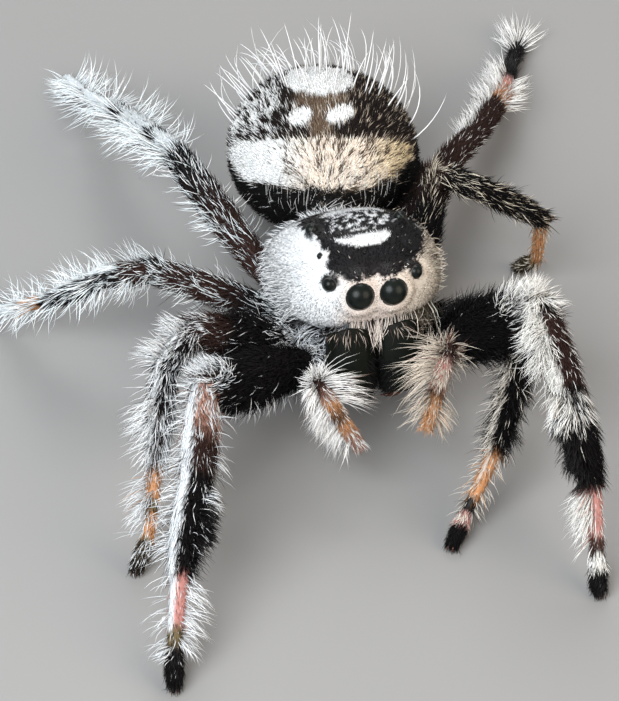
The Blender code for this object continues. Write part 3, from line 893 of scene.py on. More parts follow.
def head_pale(local, crescent):
    """The colour of the head's pale hairs: white, pink on the face, and on the left a beige that is
    partly its own cream and partly painted warm light and shade.
    """
    x, y, z = local.T
    warm = soft_step(x, -1.40, -0.60) * soft_step(y, -0.9, -2.0)
    pale = blend(CHEEK_WHITE, FACE_PINK, warm)
    # the left cheek turns beige: partly its own cream, partly painted warm light and shade
    pale = blend(pale, LEFT_CHEEK_CREAM_AND_WARM_SHADE, soft_step(x, 0.1, 1.5) * soft_step(z, 2.3, 1.9))
    return blend(pale, CRESCENT_WHITE, crescent)


def head_dark(points, local, cheek):
    """The colour of its dark hairs: black on the patch, browner at the brow, soft on a cheek."""
    x, y, _ = local.T
    dark = np.array(PATCH_BLACK) * (0.35 + 1.3 * noise(points, 0.30, 10))[:, None]
    dark = blend(dark, BROW_BROWN, soft_step(y, -2.0, -2.4) * noise(points, 0.12, 14))
    dark = blend(dark, CHEEK_BROWN, cheek * soft_step(x, 0.3, 1.2))
    return blend(dark, CHEEK_GREY, cheek * soft_step(x, -0.3, -1.0))


print("colours of the head are linear, so black hair is", PATCH_BLACK[0])

# %% Markings of the head
def head_markings(points):
    """The same four arrays as limb_markings, for points of the head."""
    local = in_head(points)
    x, y, z = local.T
    wander = (noise(points, 0.22, 2) - 0.5) * 0.30
    patch = black_patch(points, local, wander)
    crescent = white_crescent(local, wander)
    share = flecked(0.985 * (1 - patch) + 0.015 * patch, patch, local, wander)
    share = np.maximum(share, crescent)
    # the lower rear of the cheeks is speckled with dark hairs, more so on the left
    back = soft_step(z, 1.1, 0.4) * soft_step(y, -2.2, -1.2)
    share = np.where(patch < 0.5, share - back * np.where(x < 0, 0.22, 0.42), share)
    # under the face's lower edge few hairs are pale: partly the dark hairs there, partly painted shade
    # below the rolled edge
    underside_dark_and_shade = soft_step(z, 0.10, -0.08)
    share = share * (1 - 0.92 * underside_dark_and_shade)
    # the upper left cheek is mottled behind the eye at its side
    mottled = soft_step(x, 1.1, 1.5) * soft_step(y, -2.2, -1.7)
    mottled = mottled * (0.12 + 0.26 * soft_step(z, 0.8, 1.5))
    share = np.where(patch < 0.5, share - mottled, share)
    share = np.where(y > 0.9, share * 0.80, share)
    share *= soft_step(eye_gap(points, SIDE_EYES), 0.0, 0.02)
    dark = head_dark(points, local, (1 - patch) * (1 - underside_dark_and_shade))
    return share, HEAD_SKIN, dark, head_pale(local, crescent)


print("the head's markings lie in a frame tipped up by", round(math.degrees(HEAD_PITCH)), "degrees")

# %% [markdown]
# The abdomen has a broad pale band round its front, black below it, and two small white
# spots and a large one on its back. White flecks cover its right side. Farther back,
# pairs of pale bars fade towards the spinnerets, as on most males of this spider.

# %% Spots and bars of the abdomen
SPOT_X = -0.18           # the row of spots lies a little right of the middle
# Each pair of bars from front to back: place along the back, reach to each side, size.
BAR_PAIRS = ((1.75, 0.95, 0.42), (2.55, 0.72, 0.34), (3.15, 0.45, 0.26))
BAR_TILT = 0.45


def ellipse(x, y, centre, half, tilt=0.0):
    """Below 1 inside an ellipse on the back, with its long axis turned by the tilt."""
    dx, dy = x - centre[0], y - centre[1]
    along = dx * math.cos(tilt) + dy * math.sin(tilt)
    off = dy * math.cos(tilt) - dx * math.sin(tilt)
    return np.hypot(along / half[0], off / half[1])


def abdomen_spots(local, wander):
    """1 on the white spots and bars of the back, and 0 between them."""
    x, y, z = local.T
    on_back = z > 0.8
    small = np.minimum(ellipse(x, y, (-0.80, -1.70), (0.36, 0.46)),
                       ellipse(x, y, (0.37, -1.66), (0.60, 0.34), 0.85))
    big = ellipse(x, y, (SPOT_X, 0.50), (1.08, 1.50))
    spots = soft_step(small + wander * 0.5, 1.08, 0.86) * on_back
    spots = np.maximum(spots, soft_step(big + wander * 0.3, 1.04, 0.94) * on_back)
    for row, (along, reach, size) in enumerate(BAR_PAIRS):
        strength = 0.95 - 0.12 * row
        for side in SIDES.values():
            centre, half = (SPOT_X + side * reach, along), (size * 1.25, size * 0.62)
            bar = ellipse(x, y, centre, half, side * BAR_TILT)
            bar = soft_step(bar + wander * 0.5, 1.05, 0.85) * (z > -0.6) * strength
            spots = np.maximum(spots, bar)
    return spots


print("pairs of bars:", len(BAR_PAIRS))

# %% Colours of the abdomen
BAND_WHITE = (0.93, 0.94, 0.93)
BAND_CREAM = (0.90, 0.79, 0.69)
BAND_TAN = (0.84, 0.69, 0.45)
BAND_BROWN = (0.14, 0.105, 0.075)       # the few dark hairs in the band
FLECK_TAN = (0.50, 0.42, 0.34)
BACK_DARK = (0.024, 0.018, 0.016)
BACK_BROWN = (0.21, 0.145, 0.10)        # the brown mark between and behind the small spots
FRONT_BLACK = (0.010, 0.010, 0.010)
BACK_SKIN = (0.016, 0.012, 0.010)
BROWN_SKIN = (0.08, 0.05, 0.033)


def abdomen_colours(local, band, front, spots, right):
    """The skin's colour and the colours of the abdomen's dark and pale hairs."""
    x, y, _ = local.T
    pale = blend(BAND_WHITE, BAND_CREAM, band * soft_step(x, -1.5, -0.4))
    pale = blend(pale, BAND_TAN, band * soft_step(x, 0.7, 2.4))
    loose = (1 - band) * (1 - spots) * (1 - right)
    pale = blend(pale, FLECK_TAN, loose * soft_step(x, -1.6, -0.2))
    aside = np.abs(x - SPOT_X)
    brown = soft_step(aside, 1.0, 0.4) * soft_step(y, -2.2, -1.6) * soft_step(y, -0.5, -0.8)
    stalk = soft_step(aside, 0.42, 0.20) * soft_step(y, -2.9, -2.5) * soft_step(y, -1.4, -1.8)
    brown = np.maximum(brown, stalk)
    dark = blend(BACK_DARK, BACK_BROWN, brown * (1 - spots))
    dark = blend(blend(dark, BAND_BROWN, band), FRONT_BLACK, front)
    return blend(BACK_SKIN, BROWN_SKIN, brown), dark, pale


print("the band turns from white through cream to", BAND_TAN)

# %% Markings of the abdomen
def abdomen_markings(points):
    """The same four arrays as limb_markings, for points of the abdomen."""
    local = in_abdomen(points)
    x, y, z = local.T
    wander = (noise(points, 0.20, 4) - 0.5) * 0.45
    streaks = noise(local * (1.0, 0.45, 0.45), 0.085, 5)
    share = 0.06 + 0.50 * soft_step(streaks, 0.58, 0.74)
    right = soft_step(x + wander, -1.35, -1.75)
    share = share + (0.36 + 0.70 * soft_step(streaks, 0.42, 0.56) - share) * right
    # the band lies ahead of a curved line over the back and above a sloping one at the front
    flank = 0.55 * (x / 3.0) ** 2 - 0.20 * np.clip(1 - ((x + 0.6) / 2.4) ** 2, 0, 1)
    ahead = flank - (y + z) + wander * 0.5
    slope = 0.45 * soft_step(x, -1.3, -2.7) - 0.22 * soft_step(x, 1.2, 3.0)
    above = soft_step(z + slope + wander * 0.35, 0.20, 0.38)
    band = soft_step(ahead, 0.68, 0.84) * above
    share = share * (1 - soft_step(ahead, 0.24, 0.62) * 0.75)
    pores = soft_step(noise(local * (1.0, 0.6, 0.6), 0.060, 6), 0.60, 0.72)
    pores = pores * soft_step(x, -1.7, -0.6)
    share = share + (0.97 - 0.60 * pores - share) * band
    front = soft_step(y, 0.4, -0.6) * (1 - above)
    share = share * (1 - front) + 0.02 * front
    spots = abdomen_spots(local, wander)
    share = np.maximum(share, spots * 0.99)
    belly = soft_step(z, -0.9, -1.6)
    share = share + (0.30 - share) * belly
    return share, *abdomen_colours(local, band, front, spots, right)


print("the abdomen's frame starts", ABDOMEN_HALF_LENGTH, "mm ahead of its rear end")

# %% [markdown]
# The sternum, the legs' and palps' bases and the spinnerets are plainly marked. The bases
# of the palps are seen beside the jaws: black skin with cool white hairs over it.

# %% Markings of the underside, and of any part
UNDER_SKIN = (0.020, 0.016, 0.015)
UNDER_DARK = (0.030, 0.026, 0.026)
UNDER_WHITE = (0.86, 0.89, 0.94)
UNDER_TAN = (0.70, 0.62, 0.52)
PALP_BASE = (-2.3, -2.7)        # the bases of the palps begin between these places


def underside_markings(points):
    """The same four arrays, for the sternum with the limbs' bases, and for the spinnerets."""
    x = in_head(points)[:, 0]
    palp_base = soft_step(points[:, 1], *PALP_BASE)
    share = (0.45 + 0.25 * soft_step(x, 0.5, -1.5)) * (1 - 0.70 * palp_base)
    dark = np.array(UNDER_DARK) * (1 - 0.6 * palp_base[:, None])
    return share, UNDER_SKIN, dark, blend(UNDER_WHITE, UNDER_TAN, soft_step(x, -0.5, 1.2))


BODY_MARKINGS = {"carapace": head_markings, "abdomen": abdomen_markings,
                 "sternum": underside_markings, "spinnerets": underside_markings}


def markings(owners, points):
    """The markings of every point, given the number of the node that owns it."""
    share = np.zeros(len(points))
    ground, dark, pale = (np.zeros((len(points), 3)) for _ in range(3))
    for number in np.unique(owners):
        name = skin_names[number]
        mine = owners == number
        if name in limbs:
            found = limb_markings(name, points[mine])
        else:
            found = BODY_MARKINGS[part_of(name)](points[mine])
        share[mine], ground[mine], dark[mine], pale[mine] = found
    return np.clip(share, 0, 1), ground, dark, pale


print("marked parts:", len(skin_names))

# %% [markdown]
# The skin takes its ground colour where hairs are dark or thin, and a shaded pale colour
# where pale hairs are thick, because there nothing dark would show between them.

# %% Colour the skin
SHADED = 0.62            # pale skin under pale hairs, as a share of the hairs' colour


def paint(mesh, colours):
    """Store one linear colour for each point in the attribute that the materials read."""
    tint = mesh.attributes.new("tint", "FLOAT_COLOR", "POINT")
    opaque = np.ones((len(colours), 4), np.float32)
    opaque[:, :3] = colours
    tint.data.foreach_set("color", opaque.ravel())


share, ground, dark, pale = markings(skin_owner, skin_points)
under = blend(ground, dark * 0.8, 0.4)
skin_colours = under + (pale * SHADED - under) * soft_step(share, 0.35, 0.95)[:, None]
paint(skin_mesh, skin_colours)
print("mean skin colour", skin_colours.mean(0).round(2))

# %% [markdown]
# ## Eyes
# Eight eyes: two big ones in front, one beside each, a tiny one behind that, and one more
# at the rear of the black patch. Each is a smooth ball of black glass that is sunk in the
# head for most of its depth. A thin raised rim of skin seats it. The rim is a circle spun
# round the eye's line of sight. The glass is nearly black, with a soft gleam under a
# faint clear coat. Lumps of dim green-brown are painted into it: partly the eyes' own
# green-black tone, partly a painted glow standing in for a faint reflection.

# %% Eye glass
GLASS_BLACK = (0.0016, 0.0018, 0.0020)
# painted glow: dim green-brown lumps, partly the glass's own green-black tone and partly a painted faint
# reflection
GLASS_GREEN_AND_PAINTED_GLOW = (0.0090, 0.0125, 0.0100)

glass, glass_tree, glass_shader = material_with(
    "eye_glass", 0.30, Coat_Weight=0.02, Coat_Roughness=0.10, Specular_IOR_Level=0.15)
glow_lumps = add_node(glass_tree, "ShaderNodeGroup", node_tree=grain_group)
glow_lumps.inputs["Size mm"].default_value = 0.30
glow_lumps.inputs["Detail"].default_value = 1.0
glass_and_glow_colour = add_node(glass_tree, "ShaderNodeMix", data_type="RGBA")
glass_and_glow_colour.inputs["A"].default_value = (*GLASS_BLACK, 1.0)
glass_and_glow_colour.inputs["B"].default_value = (*GLASS_GREEN_AND_PAINTED_GLOW, 1.0)
glass_tree.links.new(glow_lumps.outputs["Mask"], glass_and_glow_colour.inputs["Factor"])
glass_tree.links.new(glass_and_glow_colour.outputs["Result"], glass_shader.inputs["Base Color"])
print("eye glass:", len(glass_tree.nodes), "nodes")


# %% Eyes
def finish_piece(name, shape, material, replaced=()):
    """Turn a bmesh in millimetres into a smooth object that rides on the spider."""
    bmesh.ops.scale(shape, verts=shape.verts, vec=(MM, MM, MM))
    mesh = bpy.data.meshes.new(name)
    shape.to_mesh(mesh)
    shape.free()
    mesh.shade_smooth()
    mesh.materials.append(material)
    piece = add_to_scene(name, mesh)
    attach(piece, "root")
    if replaced:
        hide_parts(*replaced)
    return piece


for name in EYE_NODES:
    ball = bmesh.new()
    bmesh.ops.create_uvsphere(ball, u_segments=48, v_segments=24, radius=eye_radius[name],
                              matrix=Matrix.Translation(eye_middle[name]))
    finish_piece(name + "_glass", ball, glass, [name])
print("eyes:", len(EYE_NODES))

# %% Eye rims
RIM_THICKNESS = 0.018

rim_material, rim_tree, rim_shader = material_with("eye_rim", 0.38, Coat_Weight=0.2)
rim_shader.inputs["Base Color"].default_value = (0.010, 0.009, 0.009, 1.0)
use_grain(rim_tree, rim_shader, 0.05, 0.4, 0.004)

rims = bmesh.new()
for name in EYE_NODES:
    look = Vector(eye_look[name])
    seat = Vector(eye_middle[name]) + look * eye_seat[name]
    turn = Matrix.Translation(seat) @ look.to_track_quat("Z", "Y").to_matrix().to_4x4()
    start = Matrix.Translation((eye_opening[name], 0, 0)) @ Matrix.Rotation(math.pi / 2, 4, "X")
    circle = bmesh.ops.create_circle(rims, segments=10, radius=RIM_THICKNESS, matrix=turn @ start)
    ring = circle["verts"]
    loop = ring + [edge for edge in rims.edges if edge.verts[0] in ring]
    bmesh.ops.spin(rims, geom=loop, cent=seat, axis=look, angle=2 * math.pi, steps=40,
                   use_merge=True)
bmesh.ops.recalc_face_normals(rims, faces=rims.faces)
finish_piece("eye_rims", rims, rim_material)
print("rims:", len(EYE_NODES))

# %% [markdown]
# ## Jaws, fangs and claws
# Under the face hang two stout jaws of bare shell, black with a green gleam. The CAD
# gives their shape in flat facets, so each is copied, remeshed finely and smoothed. Their
# shell has fine ridges across it. Fangs and claws are spikes bent along a short path: an
# operator makes a straight cylinder, rings are cut into it, and each ring moves to its
# place on the path.

# %% Shell materials
def shell(name, colour, sheen_colour, roughness, gloss, ridge_size, ridge_depth):
    """Glossy cuticle: two colours clouded into each other, fine grain and ridges across."""
    made, tree, shader = material_with(name, roughness, Specular_IOR_Level=gloss)
    place = add_node(tree, "ShaderNodeTexCoord")
    ridges = add_node(tree, "ShaderNodeTexWave", wave_type="BANDS", bands_direction="Z")
    ridges.inputs["Scale"].default_value = 1.0 / (ridge_size * MM * 20.0)
    ridges.inputs["Distortion"].default_value = 3.0
    tree.links.new(place.outputs["Object"], ridges.inputs["Vector"])
    grain = use_grain(tree, shader, 0.12, 0.35, 0.008)
    grain_bump = shader.inputs["Normal"].links[0].from_node
    ridge_bump = add_node(tree, "ShaderNodeBump")
    ridge_bump.inputs["Strength"].default_value = 0.35
    ridge_bump.inputs["Distance"].default_value = ridge_depth * MM
    tree.links.new(ridges.outputs["Fac"], ridge_bump.inputs["Height"])
    tree.links.new(ridge_bump.outputs["Normal"], grain_bump.inputs["Normal"])
    mix = add_node(tree, "ShaderNodeMix", data_type="RGBA")
    mix.inputs["A"].default_value = (*colour, 1.0)
    mix.inputs["B"].default_value = (*sheen_colour, 1.0)
    tree.links.new(grain.outputs["Mask"], mix.inputs["Factor"])
    tree.links.new(mix.outputs["Result"], shader.inputs["Base Color"])
    return made


JAW_SHELL = shell("jaw_shell", (0.0018, 0.0022, 0.0017), (0.0048, 0.0066, 0.0044),
                  roughness=0.52, gloss=0.08, ridge_size=0.055, ridge_depth=0.006)
FANG_SHELL = shell("fang_shell", (0.040, 0.010, 0.005), (0.110, 0.030, 0.012),
                   roughness=0.20, gloss=0.50, ridge_size=0.080, ridge_depth=0.003)
print("shell materials: jaws, fangs and claws")

# %% Jaws
JAW_VOXEL = 0.045
JAW_SMOOTHING = 14

jaws = []
for side in SIDES:
    name = f"chelicera_{side}"
    block = bmesh.new()
    block.from_mesh(frame["nodes"][name].data)
    weld(block)
    smooth_jaw = bmesh.new()
    smooth_jaw.from_mesh(melted(block, JAW_VOXEL, JAW_SMOOTHING))
    jaws.append(finish_piece(f"jaw_{side}", smooth_jaw, JAW_SHELL, [name]))
print("faces of the jaws:", [len(jaw.data.polygons) for jaw in jaws])

# %% Bent spikes
SPIKE_RINGS = 12


def spike(shape, path, radii, sides=12, rings=SPIKE_RINGS):
    """Add a round spike whose middle runs through the path. Points and radii in millimetres."""
    straight = bmesh.new()
    bmesh.ops.create_cone(straight, cap_ends=True, segments=sides, radius1=1, radius2=1, depth=1.0)
    for ring in range(1, rings):
        whole = straight.verts[:] + straight.edges[:] + straight.faces[:]
        height = ring / rings - 0.5
        bmesh.ops.bisect_plane(straight, geom=whole, plane_co=(0, 0, height), plane_no=(0, 0, 1))
    path = np.array(path, float)
    stops = np.linspace(0, 1, len(path))
    smooth = [np.polyfit(stops, path[:, axis], len(path) - 1) for axis in range(3)]
    for vert in straight.verts:
        share = vert.co.z + 0.5
        centre = Vector([np.polyval(curve, share) for curve in smooth])
        ahead = Vector([np.polyval(np.polyder(curve), share) for curve in smooth]).normalized()
        turn = ahead.to_track_quat("Z", "Y").to_matrix()
        radius = float(np.interp(share, np.linspace(0, 1, len(radii)), radii))
        vert.co = centre + turn @ Vector((vert.co.x * radius, vert.co.y * radius, 0))
    mesh = bpy.data.meshes.new("spike")
    straight.to_mesh(mesh)
    straight.free()
    shape.from_mesh(mesh)
    bpy.data.meshes.remove(mesh)


print("lengths of a spike:", SPIKE_RINGS, "unless told otherwise")

# %% Fangs
FANG_RADII = (0.17, 0.15, 0.12, 0.08, 0.045, 0.008)

for side in SIDES:
    name = f"fang_{side}"
    low, high = (np.array(corner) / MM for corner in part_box(name))
    inner, outer = (low[0], high[0]) if side == "left" else (high[0], low[0])
    inward = np.sign(inner - outer)
    root = (outer + inward * 0.22, low[1] + 0.22, high[2] - 0.03)
    bend = (outer + inward * 0.34, low[1] + 0.32, low[2] + 0.16)
    tip = (inner - inward * 0.03, high[1] - 0.14, low[2] + 0.14)
    fang = bmesh.new()
    spike(fang, (root, bend, tip), FANG_RADII)
    finish_piece(f"fang_blade_{side}", fang, FANG_SHELL, [name])
print("fangs: 2")

# %% Claws
CLAW_LENGTH = 0.20
CLAW_SPREAD = 0.05
CLAW_RADII = (0.026, 0.022, 0.015, 0.004)
CLAW_TIP_HEIGHT = 0.015

claws = bmesh.new()
claw_count = 0
for name, limb in limbs.items():
    if not name.endswith("tarsus") or name.startswith("palp"):
        continue
    ahead = across(limb["axis"], UP)
    aside = np.cross(UP, ahead)
    for way in (-1, 1):
        root = limb["end"] - limb["axis"] * 0.06 + aside * way * CLAW_SPREAD
        root[2] = max(root[2], 0.10)
        crown = root + ahead * CLAW_LENGTH * 0.6 + UP * 0.05 + aside * way * 0.02
        tip = root + ahead * CLAW_LENGTH + aside * way * 0.03
        tip[2] = CLAW_TIP_HEIGHT
        spike(claws, (root, crown, tip), CLAW_RADII, sides=8, rings=6)
        claw_count += 1
finish_piece("claws", claws, FANG_SHELL)
print("claws:", claw_count)

# %% [markdown]
# ## The coat
# Every hair is a copy of one of four locks: a three-sided spike with no ring, or with one,
# two or five rings. More rings let a long hair bend smoothly, fewer keep fur light. The
# copies are laid out with arrays: for each hair a root on the skin, the direction that it
# is combed, its length, and how much it stands up and curls back.

# %% Lock templates
def lock_template(rings):
    """A spike one long as arrays: heights, places round the middle, and triangles."""
    lock = bmesh.new()
    bmesh.ops.create_cone(lock, cap_ends=True, segments=3, radius1=1.0, radius2=0.0, depth=1.0)
    bmesh.ops.remove_doubles(lock, verts=lock.verts, dist=1e-5)
    for ring in range(rings):
        whole = lock.verts[:] + lock.edges[:] + lock.faces[:]
        height = (ring + 1) / (rings + 1) - 0.5
        bmesh.ops.bisect_plane(lock, geom=whole, plane_co=(0, 0, height), plane_no=(0, 0, 1))
    bmesh.ops.triangulate(lock, faces=lock.faces)
    lock.verts.index_update()
    points = np.array([vert.co for vert in lock.verts])
    triangles = np.array([[vert.index for vert in face.verts] for face in lock.faces])
    lock.free()
    height = points[:, 2] + 0.5
    around = points[:, :2] / np.maximum(np.linalg.norm(points[:, :2], axis=1, keepdims=True), 1e-6)
    around[height > 0.999] = 0
    return height, around, triangles


LOCKS = [lock_template(rings) for rings in (0, 1, 2, 5)]
print("triangles in the four locks:", [len(lock[2]) for lock in LOCKS])

# %% [markdown]
# Roots are scattered over the skin's triangles, more of them where a weight is higher.
# The steps between them are even, so no bald patches appear by chance.

# %% Scatter roots
corners = skin_points[skin_triangles]
two_sides = corners[:, 1:] - corners[:, :1]
triangle_area = np.linalg.norm(np.cross(two_sides[:, 0], two_sides[:, 1]), axis=1) / 2
triangle_middle = corners.mean(1)
triangle_owner = skin_owner[skin_triangles[:, 0]]


def scatter(weights, count):
    """Roots on the skin: their places, normals and owners, dense where the weights are high."""
    total = np.cumsum(triangle_area * weights)
    marks = (np.arange(count) + chance.random(count)) * total[-1] / count
    chosen = np.minimum(np.searchsorted(total, marks), len(total) - 1)
    a, b = chance.random((2, count))
    fold = a + b > 1
    a, b = np.where(fold, 1 - a, a), np.where(fold, 1 - b, b)
    shares = np.stack([1 - a - b, a, b], axis=1)[:, :, None]
    rows = skin_triangles[chosen]
    normals = unit((skin_normals[rows] * shares).sum(1))
    return (corners[chosen] * shares).sum(1), normals, triangle_owner[chosen]


def owned(test):
    """1 for the skin's triangles whose node passes the test, and 0 for the others."""
    return np.array([test(name) for name in skin_names], float)[triangle_owner]


print("skin area", round(float(triangle_area.sum()), 1), "square mm")

# %% [markdown]
# A hair is bent like part of a circle. Lift is the angle at which it leaves the skin, curl
# is the angle by which it comes down again towards its tip, and sway bends it sideways.
# Hairs differ, so a pair of numbers means that each hair draws its own between them.

# %% Numbers of every hair
SINK = 0.02              # how deep a root goes into the skin
PATCH = 0.003            # width of one hair's patch on the coat's UV map
FLATNESS = 0.6           # thickness of a hair as a share of its width
LEAST_CURL = 3.0
TAPER = 0.6              # below 1, so that a hair keeps its width and narrows near its tip
LOWEST = 0.012           # no hair goes through the floor
LONG_LOCK = 2            # locks from this one on shine like long hairs


def drawn(value, count):
    """A number for each hair: drawn between the two of a pair, or the value as it is."""
    if isinstance(value, tuple):
        return chance.uniform(*value, count)
    return np.broadcast_to(value, count)


print("a hair's root is sunk by", SINK, "mm")

# %% Grow hairs
def grow(roots, normals, flow, length, width, lift, curl, sway, tints, place, lock):
    """Bent copies of a lock, one row per root. Tints are the colours of the root and tip."""
    height, around, triangles = LOCKS[lock]
    count = len(roots)
    flow = across(flow, normals)
    side = np.cross(flow, normals)[:, None]
    length = drawn(length, count)[:, None, None]
    lift = np.radians(drawn(lift, count))[:, None]
    curl = np.radians(np.maximum(drawn(curl, count), LEAST_CURL))[:, None]
    sway = chance.normal(0, sway, count) if sway else np.zeros(count)
    radius = np.broadcast_to(width, count)[:, None, None] / 2 * (1 - height[:, None]) ** TAPER
    angle = lift - curl * height
    forward = ((np.sin(lift) - np.sin(angle)) / curl)[:, :, None]
    upward = ((np.cos(angle) - np.cos(lift)) / curl)[:, :, None]
    bend = (sway[:, None] * height ** 2)[:, :, None]
    flow, normals = flow[:, None], normals[:, None]
    path = forward * flow + upward * normals + bend * side
    spine = roots[:, None] - normals * SINK + length * path
    over = normals * np.cos(angle)[:, :, None] - flow * np.sin(angle)[:, :, None]
    points = spine + radius * (around[:, 0:1] * side + FLATNESS * around[:, 1:2] * over)
    points[:, :, 2] = np.maximum(points[:, :, 2], LOWEST)
    rise = (height ** 0.7)[None, :, None]
    at_root, at_tip = (np.broadcast_to(tint, roots.shape)[:, None] for tint in tints)
    spot = np.stack([around[:, 0], 2 * height - 1], axis=1) * PATCH / 2
    return {"points": points, "tints": at_root * (1 - rise) + at_tip * rise,
            "uv": place[:, None] + spot, "triangles": triangles, "long": lock >= LONG_LOCK}


print("hairs are grown in thousands at a time")

# %% [markdown]
# Thousands of hairs are joined into one piece. The mesh is filled from arrays, because
# that many copies would take an operator minutes. Long hairs get the shinier material.

# %% Join hairs into a piece
coat_sizes = {}


def joined(batches, key, width):
    """One kind of value from all batches, one row for each point."""
    return np.concatenate([batch[key].reshape(-1, width) for batch in batches])


def coat_piece(name, batches):
    """Join batches of hairs into one object with its tint and its OFBake map."""
    points, uv = joined(batches, "points", 3), joined(batches, "uv", 2)
    faces, is_long, first = [], [], 0
    for batch in batches:
        count, points_each = batch["points"].shape[:2]
        starts = first + np.arange(count)[:, None, None] * points_each
        faces.append((batch["triangles"][None] + starts).reshape(-1, 3))
        is_long.append(np.full(len(faces[-1]), batch["long"]))
        first += count * points_each
    faces = np.concatenate(faces).astype(np.int32)
    mesh = bpy.data.meshes.new(name)
    mesh.vertices.add(len(points))
    mesh.vertices.foreach_set("co", (points * MM).astype(np.float32).ravel())
    mesh.loops.add(faces.size)
    mesh.loops.foreach_set("vertex_index", faces.ravel())
    mesh.polygons.add(len(faces))
    mesh.polygons.foreach_set("loop_start", np.arange(0, faces.size, 3, dtype=np.int32))
    mesh.polygons.foreach_set("material_index", np.concatenate(is_long).astype(np.int32))
    mesh.materials.append(SHORT_HAIR)
    mesh.materials.append(LONG_HAIR)
    mesh.update()
    mesh.shade_smooth()
    paint(mesh, joined(batches, "tints", 3))
    bake_map = mesh.uv_layers.new(name="OFBake")
    bake_map.data.foreach_set("uv", np.clip(uv, 0, 1)[faces.ravel()].astype(np.float32).ravel())
    piece = add_to_scene(name, mesh)
    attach(piece, "root")
    coat_sizes[name] = len(faces)
    print(name, len(faces), "triangles")


print("materials of a coat:", SHORT_HAIR.name, "and", LONG_HAIR.name)

# %% [markdown]
# Each hair is pale or dark, never in between: a dice roll against the share from the
# markings decides, and a noise makes neighbours agree, so the hairs fall in small locks
# of one colour. A hair is darker at its root, where light hardly reaches.

# %% Colour of hairs
ROOT_SHADE = 0.50        # a root's lightness as a share of the tip's
WHITE_ROOT_SHADE = 0.80  # the same in thick white fur, which is lit through
LIGHTNESS_SPREAD = 0.12
CLUMPING = 4.4           # how strongly neighbours agree
LIGHTEST = 0.97


def hair_tints(owners, roots, share_given=None, clump=SPECK):
    """The colours of the hairs' roots and tips, and which of the hairs are pale."""
    share, _, dark, pale = markings(owners, roots)
    if share_given is not None:
        share = np.broadcast_to(share_given, len(roots))
    lumps = noise(roots, clump, 7) * 0.55 + noise(roots, clump * 0.5, 8) * 0.45
    wanted = share + (lumps - 0.5) * CLUMPING * share * (1 - share)
    is_pale = chance.random(len(roots)) < wanted
    light = 1 + chance.normal(0, LIGHTNESS_SPREAD, len(roots))
    tip = np.where(is_pale[:, None], pale, dark) * np.clip(light, 0.6, 1.25)[:, None]
    tip = np.clip(tip, 0, LIGHTEST)
    shade = np.where(is_pale & (share > 0.9), WHITE_ROOT_SHADE, ROOT_SHADE)[:, None]
    return (tip * shade, tip), is_pale


print("the share of pale hairs comes from the markings, give or take clumps of", SPECK, "mm")

# %% [markdown]
# Fur never lies quite straight. Waves turn the combing direction this way and that, so it
# falls in locks. On a coat's map each hair has a tiny patch, placed by where it grows.

# %% Combing and unwrapping
def round_place(local, middle, half):
    """A point's place on a simple unwrap of a rounded part: its bearing and its height."""
    spread = (local - middle) / half
    bearing = np.arctan2(spread[:, 0], -spread[:, 1]) / (2 * math.pi) + 0.5
    height = np.arcsin(np.clip(unit(spread)[:, 2], -1, 1)) / math.pi + 0.5
    return np.stack([bearing, height], axis=1)


def combed(flow, roots, size, strength):
    """Turn the combing direction this way and that, in waves of about that size."""
    waves = np.stack([noise(roots, size, seed) - 0.5 for seed in (11, 12, 13)], axis=1)
    return unit(flow) + waves * strength


print("a hair's patch on the map is", PATCH, "wide")

# %% [markdown]
# ## Coat of the head
# The shortest fur is on the face. It is combed down over the face and away from each eye,
# and back over the top.

# %% Combing on the head
HEAD_MIDDLE = np.array((0.0, -1.15, 0.9))
HEAD_HALF = np.array((2.3, 2.7, 2.0))
RIM_CLEARANCE = 1.01     # hairs stay out of a ball this much larger than the eye


def head_flow(points):
    """The combing direction on the head: back over the top, down the face, away from eyes."""
    x, y, z = in_head(points).T
    face = soft_step(y, -1.9, -2.5) * soft_step(z, 2.15, 1.85)
    back = np.stack([0.35 * x, np.full_like(x, 1.0), -0.25 * np.abs(x)], axis=1)
    cheek = np.stack([0.25 * x, np.full_like(x, 0.75), np.full_like(x, -0.65)], axis=1)
    down = np.stack([0.35 * x, np.full_like(x, -0.25), np.full_like(x, -1.0)], axis=1)
    side = soft_step(np.abs(x), 1.25, 1.75) * soft_step(z, 2.2, 1.5)
    flow = back + (cheek - back) * side[:, None]
    flow = (flow + (down - flow) * face[:, None]) @ head_turn.T
    for name in EYE_NODES:
        away = points - eye_middle[name]
        gap = np.linalg.norm(away, axis=1) - eye_radius[name]
        push = 1.1 if "middle" in name else 2.0
        flow = unit(flow) + push * unit(away) * soft_step(gap, 0.30, 0.05)[:, None]
    return flow


def clear_of_eyes(points):
    """1 outside the eyes and their rims, and 0 inside them."""
    clear = np.ones(len(points))
    for name in EYE_NODES:
        clear *= np.linalg.norm(points - eye_middle[name], axis=1) > eye_radius[name] * RIM_CLEARANCE
    return clear


def head_place(points):
    """The places of the head's hairs on the unwrap of its coat."""
    return round_place(in_head(points), HEAD_MIDDLE, HEAD_HALF)


print("the head's hairs keep clear of", len(EYE_NODES), "eyes")

# %% Short fur of the head
HEAD_COUNT = 36000
FACE_LENGTH = 0.13
CHEEK_EXTRA = 0.07       # how much longer the hairs of the cheeks are
LASH_LIFT = 26           # degrees that the hairs round the big eyes stand up more

